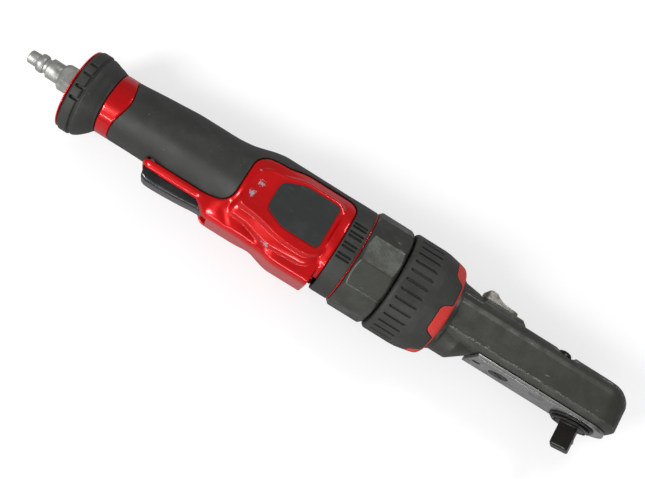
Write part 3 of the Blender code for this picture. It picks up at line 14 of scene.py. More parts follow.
import bmesh
import bpy
from mathutils import Matrix, Vector


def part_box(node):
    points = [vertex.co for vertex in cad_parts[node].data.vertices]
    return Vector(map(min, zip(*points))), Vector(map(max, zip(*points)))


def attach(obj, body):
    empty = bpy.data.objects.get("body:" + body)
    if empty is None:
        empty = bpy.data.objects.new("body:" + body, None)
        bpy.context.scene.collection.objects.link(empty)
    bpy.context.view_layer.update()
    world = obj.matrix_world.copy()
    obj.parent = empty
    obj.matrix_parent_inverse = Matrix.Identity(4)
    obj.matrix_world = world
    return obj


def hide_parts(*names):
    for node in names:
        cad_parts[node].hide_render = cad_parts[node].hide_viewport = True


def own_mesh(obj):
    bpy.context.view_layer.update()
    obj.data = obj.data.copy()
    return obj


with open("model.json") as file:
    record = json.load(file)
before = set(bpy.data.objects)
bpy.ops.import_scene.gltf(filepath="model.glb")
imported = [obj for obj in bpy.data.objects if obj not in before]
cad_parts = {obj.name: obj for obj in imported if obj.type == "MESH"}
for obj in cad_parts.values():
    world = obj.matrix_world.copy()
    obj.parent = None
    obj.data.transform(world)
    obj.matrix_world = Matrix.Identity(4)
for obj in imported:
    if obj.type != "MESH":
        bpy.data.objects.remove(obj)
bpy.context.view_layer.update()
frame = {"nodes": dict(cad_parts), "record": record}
LOG = logging.getLogger("air_ratchet")

MILLIMETRE = 0.001
# Room between a rubber piece or a plate and what it lies on.
GAP = 0.3
# How far a cutter runs past the solid that it cuts.
PAST = 6.0
# Half the height of a cutter that passes right through the handle.
THROUGH = 60.0
# Points this close are one point, and edges this short are slivers.
WELD = 0.0005
SLIVER = 0.002
# An island of fewer points than this is a speck.
SPECK = 50
# Points round a section of the handle.
OVAL_POINTS = 96
# Edges sharper than this many degrees stay crisp on machined, other and moulded pieces.
MACHINED = 30.0
OTHER = 40.0
MOULDED = 60.0

Flat = tuple[float, float]
Point = tuple[float, float, float]
Colour = tuple[float, float, float]
Profile = Sequence[Flat]
Stations = tuple[tuple[float, ...], ...]
Solid = bpy.types.Object
Socket = bpy.types.NodeSocket


def plug_tip() -> Vector:
    """Reads where the tip of the plug lies on the motor's axis.

    Returns:
        The place in metres in the part's frame.
    """
    low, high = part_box("motor_liner")
    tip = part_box("air_plug")[0]
    return Vector((tip.x, (low.y + high.y) / 2, (low.z + high.z) / 2))


ORIGIN = plug_tip()


def metres(point: Point) -> Vector:
    """The place in the part's frame of a point in millimetres."""
    return ORIGIN + Vector(point) * MILLIMETRE


class Axis(Enum):
    """The way a turned or extruded shape points."""

    X = "x"
    Y = "y"
    Z = "z"

    def turn(self) -> Matrix:
        """Finds the rotation that lays a shape drawn along Z on this axis.

        Returns:
            The rotation, with the shape's own X kept along X where it can be.
        """
        if self is Axis.X:
            return Matrix(((0, 0, 1, 0), (1, 0, 0, 0), (0, 1, 0, 0), (0, 0, 0, 1)))
        if self is Axis.Y:
            return Matrix(((1, 0, 0, 0), (0, 0, 1, 0), (0, -1, 0, 0), (0, 0, 0, 1)))
        return Matrix()


class Cut(Enum):
    """How a second solid changes the first."""

    JOIN = "UNION"
    CUT = "DIFFERENCE"
    KEEP = "INTERSECT"


class Body(Enum):
    """The moving bodies that pieces ride on."""

    TOOL = "tool"
    THROTTLE = "throttle"
    DRIVE = "drive"
    BALL = "ball"
    REVERSE = "reverse"


class Look(Enum):
    """The finishes, all but the last of them named as the record's material slots."""

    RED_PAINT = "red_paint"
    RUBBER = "rubber"
    GLOSS_BLACK = "gloss_black"
    GUNMETAL = "gunmetal"
    NUT_STEEL = "nut_steel"
    BLACK_OXIDE = "black_oxide"
    BARE_STEEL = "bare_steel"
    ZINC = "zinc"
    PLATE_BLACK = "plate_black"
    TRIM_RED = "trim_red"
    BRONZE = "bronze"
    FELT = "felt"
    VANE_RESIN = "vane_resin"
    WORN_SILVER = "worn_silver"


def about_axis(degrees: float) -> Matrix:
    """The turn about the tool's long axis."""
    return Matrix.Rotation(radians(degrees), 4, "X")


def arc(radius: float, start: float, end: float, steps: int, centre: Flat = (0, 0)) -> list[Flat]:
    """Points along an arc, both ends included."""
    turns = [start + (end - start) * i / steps for i in range(steps + 1)]
    return [(centre[0] + radius * cos(a), centre[1] + radius * sin(a)) for a in turns]


def polygon(corner: float, count: int, clock: float = 0.0) -> list[Flat]:
    """Corners of a regular polygon, the first of them at the clock's angle."""
    turns = [clock + 2 * pi * k / count for k in range(count)]
    return [(corner * cos(a), corner * sin(a)) for a in turns]


def rounded(corners: Sequence[Point], steps: int = 6) -> list[Flat]:
    """Rounds the corners of an outline.

    Args:
        corners: Corner points with the length of edge that each rounding takes.
        steps: Points in each rounding.

    Returns:
        The outline with a smooth curve at each corner.
    """
    points = []
    for i, (x, y, reach) in enumerate(corners):
        here = Vector((x, y))
        before = Vector(corners[i - 1][:2]) - here
        after = Vector(corners[(i + 1) % len(corners)][:2]) - here
        start = here + before.normalized() * min(reach, before.length * 0.49)
        end = here + after.normalized() * min(reach, after.length * 0.49)
        for k in range(steps + 1):
            t = k / steps
            point = start * (1 - t) ** 2 + here * 2 * t * (1 - t) + end * t**2
            points.append((point.x, point.y))
    return points


def slope(stations: Stations, i: int, k: int) -> float:
    """Finds how fast a size grows along the stations.

    Args:
        stations: The stations in order of x.
        i: Which station.
        k: Which of its sizes.

    Returns:
        The slope, which is level at the ends and where the size turns back.
    """
    if i in (0, len(stations) - 1):
        return 0.0
    left = (stations[i][k] - stations[i - 1][k]) / (stations[i][0] - stations[i - 1][0])
    right = (stations[i + 1][k] - stations[i][k]) / (stations[i + 1][0] - stations[i][0])
    return 0.0 if left * right <= 0 else 2 * left * right / (left + right)


def smooth_stations(stations: Stations, spacing: float) -> list[tuple[float, ...]]:
    """Runs a smooth curve through stations of (x, size, size, ...).

    Args:
        stations: The stations in order of x.
        spacing: The greatest distance between the new stations.

    Returns:
        Stations close together, with no overshoot past the given sizes.
    """
    out = []
    for i, (a, b) in enumerate(zip(stations, stations[1:])):
        length = b[0] - a[0]
        count = max(1, round(length / spacing))
        for step in range(count):
            t = step / count
            start = 2 * t**3 - 3 * t**2 + 1
            rise = t**3 - 2 * t**2 + t
            fall = t**3 - t**2
            row = [a[0] + t * length]
            for k in range(1, len(a)):
                bend = rise * slope(stations, i, k) + fall * slope(stations, i + 1, k)
                row.append(start * a[k] + (1 - start) * b[k] + length * bend)
            out.append(tuple(row))
    out.append(tuple(stations[-1]))
    return out


def oval(x: float, back: float, front: float, side: float, inset: float = 0.0) -> list[Point]:
    """Draws a handle section: one half-ellipse towards the back and another towards the lever.

    Args:
        x: Where the section lies.
        back: Its reach away from the lever.
        front: Its reach towards the lever.
        side: Its reach to each side.
        inset: How far the whole section is drawn in.

    Returns:
        The ring of points.
    """
    points = []
    for k in range(OVAL_POINTS):
        angle = 2 * pi * (k + 0.5) / OVAL_POINTS
        reach = back if cos(angle) > 0 else front
        points.append((x, (reach - inset) * cos(angle), (side - inset) * sin(angle)))
    return points


@dataclass
class Workshop:
    """Makes meshes in millimetres and publishes them as finished pieces.

    Args:
        looks: The materials by finish.
    """

    looks: dict[Look, bpy.types.Material]

    def solid(self, bm: bmesh.types.BMesh) -> Solid:
        """Turns a bmesh into a closed object with its faces outwards.

        Args:
            bm: The finished bmesh, which is freed.

        Returns:
            The linked object, still in millimetres.
        """
        bmesh.ops.remove_doubles(bm, verts=bm.verts, dist=WELD)
        bmesh.ops.recalc_face_normals(bm, faces=bm.faces)
        mesh = bpy.data.meshes.new("shape")
        bm.to_mesh(mesh)
        bm.free()
        made = bpy.data.objects.new("shape", mesh)
        bpy.context.scene.collection.objects.link(made)
        return made

    def turned(self, profile: Profile, axis: Axis = Axis.X, at: Point = (0, 0, 0), steps: int = 96,
               closed: bool = False) -> Solid:
        """Spins a profile round an axis.

        Args:
            profile: Points of height along the axis and radius.
            axis: The axis of the turned shape.
            at: A point that the axis passes through.
            steps: Facets in a full turn.
            closed: Whether the last point joins the first, as in a ring.

        Returns:
            The turned solid.
        """
        bm = bmesh.new()
        verts = [bm.verts.new((radius, 0, height)) for height, radius in profile]
        edges = [bm.edges.new(pair) for pair in zip(verts, verts[1:])]
        if closed:
            edges.append(bm.edges.new((verts[-1], verts[0])))
        bmesh.ops.spin(bm, geom=verts + edges, cent=(0, 0, 0), axis=(0, 0, 1), angle=2 * pi, steps=steps,
                       use_merge=True)
        bmesh.ops.transform(bm, matrix=Matrix.Translation(at) @ axis.turn(), verts=bm.verts)
        return self.solid(bm)

    def rod(self, low: float, high: float, radius: float, axis: Axis = Axis.X, at: Point = (0, 0, 0),
            steps: int = 64) -> Solid:
        """A plain cylinder between two heights along an axis."""
        return self.turned([(low, 0), (low, radius), (high, radius), (high, 0)], axis, at, steps)

    def prism(self, outline: Profile, low: float, high: float, axis: Axis = Axis.Z,
              ease: float = 0.0) -> Solid:
        """Extrudes a flat outline.

        Args:
            outline: Corners of the outline across the axis.
            low: Where the extrusion starts along the axis.
            high: Where it ends.
            axis: The axis it runs along.
            ease: Width of the bevel on the two end rims, or 0 for none.

        Returns:
            The extruded solid.
        """
        bm = bmesh.new()
        base = bm.faces.new([bm.verts.new((u, v, low)) for u, v in outline])
        grown = bmesh.ops.extrude_face_region(bm, geom=[base])["geom"]
        top = [item for item in grown if isinstance(item, bmesh.types.BMVert)]
        bmesh.ops.translate(bm, vec=(0, 0, high - low), verts=top)
        if ease:
            rims = [e for e in bm.edges if abs(e.verts[0].co.z - e.verts[1].co.z) < WELD]
            bmesh.ops.bevel(bm, geom=rims, offset=ease, offset_type="OFFSET", affect="EDGES", segments=3,
                            profile=0.5, material=-1)
        bmesh.ops.transform(bm, matrix=axis.turn(), verts=bm.verts)
        return self.solid(bm)

    def block(self, low: Point, high: Point, turn: Matrix = Matrix(), ease: float = 0.0) -> Solid:
        """Makes a block between two corners.

        Args:
            low: The corner with the least of each coordinate.
            high: The corner with the most.
            turn: How the finished block is turned or moved.
            ease: Width of the bevel on its edges, or 0 for none.

        Returns:
            The block.
        """
        bm = bmesh.new()
        bmesh.ops.create_cube(bm, size=1)
        bmesh.ops.scale(bm, vec=[b - a for a, b in zip(low, high)], verts=bm.verts)
        bmesh.ops.translate(bm, vec=[(a + b) / 2 for a, b in zip(low, high)], verts=bm.verts)
        if ease:
            bmesh.ops.bevel(bm, geom=bm.edges[:], offset=ease, offset_type="OFFSET", affect="EDGES",
                            segments=5, profile=0.5, material=-1)
        bmesh.ops.transform(bm, matrix=turn, verts=bm.verts)
        return self.solid(bm)

    def loft(self, sections: Sequence[Sequence[Point]]) -> Solid:
        """Extrudes a cap from section to section and shapes each ring as it goes.

        Args:
            sections: Rings of as many points each.

        Returns:
            The closed skin through the rings.
        """
        bm = bmesh.new()
        bmesh.ops.create_circle(bm, cap_ends=True, segments=len(sections[0]), radius=1)
        bm.faces.ensure_lookup_table()
        cap = bm.faces[0]
        for vert, point in zip(cap.verts, sections[0]):
            vert.co = point
        for step, section in enumerate(sections[1:]):
            grown = bmesh.ops.extrude_face_region(bm, geom=[cap])["geom"]
            if step:
                bmesh.ops.delete(bm, geom=[cap], context="FACES_ONLY")
            cap = next(item for item in grown if isinstance(item, bmesh.types.BMFace))
            for vert, point in zip(cap.verts, section):
                vert.co = point
        return self.solid(bm)

    def carve(self, target: Solid, cut: Cut, *tools: Solid) -> Solid:
        """Joins or cuts a solid with others, which are used up.

        Known fault: the default solver doesn't join the handle's shell whole in every run.

        Args:
            target: The solid to change.
            cut: What the others do to it.
            tools: The other solids.

        Returns:
            The changed target.
        """
        for tool in tools:
            change = target.modifiers.new("change", "BOOLEAN")
            change.operation = cut.value
            change.object = tool
        self.settle(target)
        for tool in tools:
            bpy.data.objects.remove(tool, do_unlink=True)
        return target

    def settle(self, target: Solid) -> None:
        """Replaces an object's mesh by what its modifiers give.

        Args:
            target: The object with modifiers.
        """
        graph = bpy.context.evaluated_depsgraph_get()
        mesh = bpy.data.meshes.new_from_object(target.evaluated_get(graph))
        target.modifiers.clear()
        target.data = mesh

    def soften(self, target: Solid, grid: float, passes: int, keep: float = 1.0) -> Solid:
        """Rounds every edge of a solid as a mould or a tumbling barrel would.

        Args:
            target: The solid to round.
            grid: The spacing of the new even mesh.
            passes: How often the mesh is smoothed.
            keep: The share of faces that stay.

        Returns:
            The same object with its new mesh.
        """
        even = target.modifiers.new("even", "REMESH")
        even.mode = "VOXEL"
        even.voxel_size = grid
        smooth = target.modifiers.new("smooth", "SMOOTH")
        smooth.factor = 0.5
        smooth.iterations = passes
        if keep < 1.0:
            thin = target.modifiers.new("thin", "DECIMATE")
            thin.ratio = keep
        self.settle(target)
        return target

    def clean(self, target: Solid) -> None:
        """Takes out the slivers that cuts leave and the specks that an even mesh leaves in a wall.

        Args:
            target: The finished shape.
        """
        bm = bmesh.new()
        bm.from_mesh(target.data)
        bmesh.ops.dissolve_degenerate(bm, dist=SLIVER, edges=bm.edges)
        waiting = set(bm.verts)
        specks = []
        while waiting:
            island = [waiting.pop()]
            for vert in island:
                joined = {edge.other_vert(vert) for edge in vert.link_edges} & waiting
                waiting -= joined
                island.extend(joined)
            if len(island) < SPECK:
                specks += island
        bmesh.ops.delete(bm, geom=specks, context="VERTS")
        bm.to_mesh(target.data)
        bm.free()

    def publish(self, made: Solid, name: str, node: str, look: Look, body: Body = Body.TOOL,
                slot: Look | None = None, angle: float = OTHER) -> Solid:
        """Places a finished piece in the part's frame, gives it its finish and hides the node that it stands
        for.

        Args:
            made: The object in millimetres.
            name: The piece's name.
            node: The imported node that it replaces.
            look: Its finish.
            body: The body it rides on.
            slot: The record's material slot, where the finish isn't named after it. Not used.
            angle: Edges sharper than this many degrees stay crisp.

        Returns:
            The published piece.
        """
        self.clean(made)
        made.data.transform(Matrix.Translation(ORIGIN) @ Matrix.Scale(MILLIMETRE, 4))
        made.name = name
        made.data.name = name
        made.data.materials.clear()
        made.data.materials.append(self.looks[look])
        made.data.shade_smooth()
        made.data.set_sharp_from_angle(angle=radians(angle))
        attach(made, body.value)
        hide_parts(node)
        LOG.info("%s: %d faces", name, len(made.data.polygons))
        return made


@dataclass
class Shader:
    """A small writer for one node material.

    Args:
        name: The material's name.
    """

    name: str
    material: bpy.types.Material = field(init=False)

    def __post_init__(self) -> None:
        """Makes the empty material."""
        self.material = bpy.data.materials.new(self.name)
        self.material.use_nodes = True
        self.tree = self.material.node_tree
        self.surface = self.tree.nodes["Principled BSDF"]
        self.coords = self.node("TexCoord").outputs["Object"]

    def node(self, kind: str, inputs: dict[str | int, Socket | Point | float] | None = None,
             **options: str) -> bpy.types.Node:
        """Adds a node to the material.

        Args:
            kind: The node's type.
            inputs: Plain values and other nodes' outputs, by the input's name or number.
            options: The node's own settings.

        Returns:
            The new node.
        """
        made = self.tree.nodes.new(f"ShaderNode{kind}")
        for key, value in options.items():
            setattr(made, key, value)
        for key, value in (inputs or {}).items():
            socket = made.inputs[key]
            if isinstance(value, Socket):
                self.tree.links.new(value, socket)
            else:
                socket.default_value = (*value, 1.0) if socket.type == "RGBA" else value
        return made

    def set(self, **values: float | Colour) -> None:
        """Sets plain values on the surface.

        Args:
            values: The values by the socket's name, with spaces written as underscores.
        """
        for key, value in values.items():
            socket = self.surface.inputs[key.replace("_", " ")]
            socket.default_value = (*value, 1.0) if isinstance(value, tuple) else value

    def link(self, output: Socket, name: str) -> None:
        """Feeds a surface socket from a node's output."""
        self.tree.links.new(output, self.surface.inputs[name])

    def stretched(self, scale: Point) -> Socket:
        """Object coordinates scaled along each axis."""
        return self.node("Mapping", {"Scale": scale, "Vector": self.coords}).outputs["Vector"]

    def noise(self, scale: float, detail: float = 3.0, rough: float = 0.55,
              vector: Socket | None = None) -> Socket:
        """Cloudy noise; its scale is in features per metre."""
        inputs = {"Scale": scale, "Detail": detail, "Roughness": rough, "Vector": vector or self.coords}
        return self.node("TexNoise", inputs).outputs["Fac"]

    def speckle(self, scale: float) -> Socket:
        """Cell noise for pits; its scale is in cells per metre."""
        return self.node("TexVoronoi", {"Scale": scale, "Vector": self.coords}).outputs["Distance"]

    def edges(self) -> Socket:
        """How far a point stands out on an edge."""
        return self.node("NewGeometry").outputs["Pointiness"]

    def span(self, value: Socket, low: float, high: float, to_low: float = 0.0,
             to_high: float = 1.0) -> Socket:
        """Maps one range of a value onto another, held at its ends."""
        inputs = {"Value": value, "From Min": low, "From Max": high, "To Min": to_low, "To Max": to_high}
        return self.node("MapRange", inputs, interpolation_type="SMOOTHSTEP").outputs["Result"]

    def sum(self, operation: str, first: Socket, second: Socket | float = 0.0) -> Socket:
        """Works out one value from two."""
        return self.node("Math", {0: first, 1: second}, operation=operation).outputs["Value"]

    def times(self, first: Socket, second: Socket | float) -> Socket:
        """The product of two values."""
        return self.sum("MULTIPLY", first, second)

    def most(self, first: Socket, second: Socket) -> Socket:
        """The greater of two values."""
        return self.sum("MAXIMUM", first, second)

    def mix(self, factor: Socket, first: Socket | Colour, second: Socket | Colour) -> Socket:
        """Blends two colours."""
        return self.node("Mix", {0: factor, 6: first, 7: second}, data_type="RGBA").outputs[2]

    def spot(self, centre: Vector, reach: float, ragged: Socket) -> Socket:
        """Makes a ragged patch round a point.

        Args:
            centre: The patch's middle, in metres in the part's frame.
            reach: Its radius in metres.
            ragged: Noise that breaks its rim.

        Returns:
            1 inside the patch and 0 outside.
        """
        away = self.node("VectorMath", {0: self.coords, 1: centre}, operation="DISTANCE").outputs["Value"]
        shifted = self.sum("ADD", away, self.span(ragged, 0.3, 0.7, -reach * 0.7, reach * 0.7))
        return self.span(shifted, reach * 0.85, reach, 1.0, 0.0)

    def near(self, axis: int, middle: float, reach: float) -> Socket:
        """Makes a soft line along a plane.

        Args:
            axis: The number of the coordinate that the plane holds.
            middle: Where the plane lies, in metres.
            reach: How far from it the line ends, in metres.

        Returns:
            1 at the plane, falling to 0 within the reach.
        """
        place = self.node("SeparateXYZ", {"Vector": self.coords}).outputs[axis]
        away = self.sum("ABSOLUTE", self.sum("SUBTRACT", place, middle))
        return self.span(away, 0.3 * reach, reach, 1.0, 0.0)

    def bump(self, height: Socket, strength: float, distance: float) -> None:
        """Raises the surface by a height map, with the depth in metres."""
        raised = self.node("Bump", {"Strength": strength, "Distance": distance, "Height": height})
        self.link(raised.outputs["Normal"], "Normal")


@dataclass(frozen=True)
class Finish:
    """A finish whose main colour drifts into another."""

    name: str
    colour: Colour
    shade: Colour

    def make(self) -> bpy.types.Material:
        """Writes the material."""
        raise NotImplementedError


@dataclass(frozen=True)
class RubberFinish(Finish):
    """Moulded rubber with a fine grain and a dusty bloom."""

    dust: Colour = (0.20, 0.20, 0.19)

    def make(self) -> bpy.types.Material:
        """Writes the rubber.

        Returns:
            The material.
        """
        shader = Shader(self.name)
        grain = shader.noise(2600, 2.0)
        cloud = shader.noise(70, 4.0, 0.6)
        bloom = shader.times(shader.span(cloud, 0.42, 0.72), shader.span(grain, 0.30, 0.75, 0.35, 1.0))
        base = shader.mix(bloom, self.colour, self.shade)
        marks = shader.times(shader.span(shader.noise(900, 2.0), 0.70, 0.76), 0.35)
        shader.link(shader.mix(marks, base, self.dust), "Base Color")
        shader.link(shader.span(cloud, 0.3, 0.75, 0.46, 0.64), "Roughness")
        shader.set(Specular_IOR_Level=0.30)
        shader.bump(grain, 0.34, 0.00014)
        return shader.material


@dataclass(frozen=True)
class PaintFinish(Finish):
    """Gloss paint with a soft ripple, fine scratches and chips down to the primer."""

    primer: Colour
    chips: tuple[tuple[Point, float], ...]

    def make(self) -> bpy.types.Material:
        """Writes the paint, with each chip at its place and as wide as its reach.

        Returns:
            The material.
        """
        shader = Shader(self.name)
        ripple = shader.noise(420, 2.0, 0.4)
        cloud = shader.noise(45, 3.0)
        ragged = shader.noise(900, 4.0, 0.7)
        base = shader.mix(shader.span(cloud, 0.3, 0.7), self.colour, self.shade)
        rub = shader.times(shader.span(shader.edges(), 0.560, 0.640), shader.span(ragged, 0.46, 0.60))
        worn = shader.times(rub, 0.55)
        for place, reach in self.chips:
            worn = shader.most(worn, shader.spot(metres(place), reach * MILLIMETRE, ragged))
        shader.link(shader.mix(worn, base, self.primer), "Base Color")
        scratch = shader.noise(900, 2.0, 0.6, shader.stretched((0.12, 1.0, 1.0)))
        gloss = shader.span(scratch, 0.45, 0.75, 0.28, 0.34)
        shader.link(shader.most(gloss, shader.times(worn, 0.5)), "Roughness")
        shader.set(Metallic=0.35, Coat_Weight=0.55, Coat_Roughness=0.05, Specular_IOR_Level=0.22)
        shader.bump(ripple, 0.10, 0.0004)
        return shader.material


@dataclass(frozen=True)
class DarkMetalFinish(Finish):
    """Blackened or dark plated steel, mottled, with bright worn edges and, where given, a bright line along
    one edge that is partly wear and partly a painted highlight.
    """

    bright: Colour
    rough: Flat
    wear: Flat
    metallic: float
    # The y and half-width of a bright line, partly edge wear and partly a painted highlight.
    ridge_wear_and_sheen: Flat | None = None

    def make(self) -> bpy.types.Material:
        """Writes the metal, with a bright line at the given y and half-width where there is one, partly edge
        wear and partly a painted highlight.

        Returns:
            The material.
        """
        shader = Shader(self.name)
        cloud = shader.noise(120, 5.0, 0.62)
        fine = shader.noise(1400, 3.0, 0.6)
        pits = shader.span(shader.speckle(1100), 0.05, 0.30)
        base = shader.mix(shader.span(cloud, 0.36, 0.66), self.colour, self.shade)
        rubbed = shader.times(shader.span(shader.edges(), *self.wear), shader.span(fine, 0.34, 0.62))
        scars = shader.span(shader.noise(600, 2.0, 0.5, shader.stretched((0.25, 1.0, 1.0))), 0.70, 0.78)
        worn = shader.most(rubbed, shader.times(scars, 0.35))
        # A bright line painted along the edge, partly edge wear and partly a painted highlight. From here on,
        # worn holds it too.
        if self.ridge_wear_and_sheen:
            middle = ORIGIN.y + self.ridge_wear_and_sheen[0] * MILLIMETRE
            line = shader.near(1, middle, self.ridge_wear_and_sheen[1] * MILLIMETRE)
            line = shader.times(line, shader.span(cloud, 0.42, 0.64, 0.15, 0.9))
            worn = shader.most(worn, shader.times(line, shader.span(fine, 0.46, 0.60)))
        shader.link(shader.mix(worn, base, self.bright), "Base Color")
        shader.link(shader.span(cloud, 0.3, 0.7, *self.rough), "Roughness")
        shader.set(Metallic=self.metallic)
        shader.bump(shader.times(fine, pits), 0.32, 0.00014)
        return shader.material


@dataclass(frozen=True)
class BrightMetalFinish(Finish):
    """Ground, turned or plated bright metal with tool marks along one axis and grime in patches."""

    rough: Flat
    marks: Point
    metallic: float = 0.95

    def make(self) -> bpy.types.Material:
        """Writes the metal.

        Returns:
            The material.
        """
        shader = Shader(self.name)
        lines = shader.noise(1500, 3.0, 0.6, shader.stretched(self.marks))
        grime = shader.times(shader.span(shader.noise(150, 4.0, 0.6), 0.45, 0.72), 0.7)
        base = shader.mix(shader.span(lines, 0.3, 0.7), self.colour, self.shade)
        dull = tuple(0.45 * c for c in self.shade)
        shader.link(shader.mix(grime, base, dull), "Base Color")
        shader.link(shader.span(lines, 0.3, 0.7, *self.rough), "Roughness")
        shader.set(Metallic=self.metallic)
        shader.bump(lines, 0.12, 0.00008)
        return shader.material


@dataclass(frozen=True)
class PlasticFinish(Finish):
    """Moulded plastic, resin or felt with a fine texture and light handling marks."""

    rough: Flat
    grain: float
    depth: float
    coat: float = 0.0
    specular: float = 0.30

    def make(self) -> bpy.types.Material:
        """Writes the plastic.

        Returns:
            The material.
        """
        shader = Shader(self.name)
        texture = shader.noise(self.grain, 3.0, 0.6)
        cloud = shader.noise(110, 4.0, 0.6)
        scuff = shader.span(shader.noise(800, 2.0, 0.5, shader.stretched((0.18, 1.0, 1.0))), 0.66, 0.76)
        base = shader.mix(shader.span(cloud, 0.4, 0.75), self.colour, self.shade)
        pale = tuple(min(1.0, 2.5 * c + 0.02) for c in self.shade)
        shader.link(shader.mix(shader.times(scuff, 0.25), base, pale), "Base Color")
        shader.link(shader.span(cloud, 0.3, 0.7, *self.rough), "Roughness")
        shader.set(Coat_Weight=self.coat, Coat_Roughness=0.08, Specular_IOR_Level=self.specular)
        shader.bump(texture, 0.20, self.depth)
        return shader.material


PAINT_CHIPS = (
    ((126.3, 7.0, 20.5), 0.9),
    ((129.6, 1.4, 22.6), 1.7),
    ((127.9, -4.9, 21.2), 1.5),
    ((146.2, -21.8, 15.5), 1.4),
    ((143.6, -21.5, 15.0), 0.7),
)

FINISHES: dict[Look, Finish] = {
    Look.RED_PAINT: PaintFinish(
        "red_gloss_paint", (0.54, 0.0016, 0.0030), (0.43, 0.0013, 0.0022), primer=(0.30, 0.28, 0.33),
        chips=PAINT_CHIPS),
    Look.RUBBER: RubberFinish("moulded_rubber", (0.026, 0.028, 0.025), (0.043, 0.045, 0.041)),
    Look.GLOSS_BLACK: PlasticFinish(
        "lever_plastic", (0.010, 0.010, 0.011), (0.018, 0.018, 0.019), rough=(0.24, 0.32), grain=2200,
        depth=0.00005, coat=0.30, specular=0.50),
    # The head's bright line along the flank's edge is partly edge wear and partly a painted highlight.
    Look.GUNMETAL: DarkMetalFinish(
        "head_gunmetal", (0.070, 0.071, 0.062), (0.053, 0.053, 0.045), bright=(0.34, 0.34, 0.32),
        rough=(0.40, 0.52), wear=(0.556, 0.630), metallic=0.60, ridge_wear_and_sheen=(-7.4, 0.6)),
    Look.NUT_STEEL: DarkMetalFinish(
        "nut_dark_steel", (0.080, 0.084, 0.073), (0.056, 0.059, 0.051), bright=(0.26, 0.26, 0.25),
        rough=(0.34, 0.48), wear=(0.550, 0.640), metallic=0.65),
    Look.BLACK_OXIDE: DarkMetalFinish(
        "black_oxide_steel", (0.030, 0.030, 0.028), (0.020, 0.019, 0.017), bright=(0.30, 0.30, 0.29),
        rough=(0.30, 0.44), wear=(0.550, 0.640), metallic=0.80),
    Look.BARE_STEEL: BrightMetalFinish(
        "ground_steel", (0.44, 0.44, 0.43), (0.33, 0.33, 0.32), rough=(0.30, 0.44), marks=(0.05, 1.0, 1.0),
        metallic=0.85),
    Look.ZINC: BrightMetalFinish(
        "zinc_plate", (0.51, 0.52, 0.49), (0.38, 0.39, 0.36), rough=(0.42, 0.54), marks=(1.0, 0.2, 0.2),
        metallic=0.82),
    Look.PLATE_BLACK: PlasticFinish(
        "label_black", (0.022, 0.024, 0.024), (0.030, 0.032, 0.032), rough=(0.55, 0.68), grain=3000,
        depth=0.00003, specular=0.18),
    Look.TRIM_RED: PlasticFinish(
        "trim_red_rubber", (0.45, 0.028, 0.022), (0.38, 0.036, 0.029), rough=(0.45, 0.60), grain=2600,
        depth=0.00008),
    Look.BRONZE: BrightMetalFinish(
        "sintered_bronze", (0.42, 0.25, 0.10), (0.30, 0.17, 0.06), rough=(0.34, 0.50), marks=(1.0, 1.0, 1.0)),
    Look.FELT: PlasticFinish(
        "silencer_felt", (0.19, 0.18, 0.16), (0.26, 0.25, 0.22), rough=(0.90, 0.98), grain=1800,
        depth=0.0006),
    Look.VANE_RESIN: PlasticFinish(
        "vane_resin", (0.15, 0.09, 0.045), (0.20, 0.13, 0.07), rough=(0.50, 0.65), grain=1500, depth=0.0001),
    Look.WORN_SILVER: BrightMetalFinish(
        "worn_silver", (0.42, 0.40, 0.37), (0.24, 0.23, 0.21), rough=(0.34, 0.50), marks=(0.4, 1.0, 1.0),
        metallic=0.85),
}


def dress_nodes(looks: dict[Look, bpy.types.Material]) -> None:
    """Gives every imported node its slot's finish.

    Args:
        looks: The materials by finish.
    """
    slots = {part["node"]: part["material_slot"] for part in frame["record"]["subparts"]}
    for name, node in frame["nodes"].items():
        node.data.materials.clear()
        node.data.materials.append(looks[Look(slots[name])])


@dataclass
class Assembly:
    """A sub-assembly whose pieces are made in the workshop."""

    shop: Workshop

    def build(self) -> None:
        """Makes the pieces."""
        raise NotImplementedError


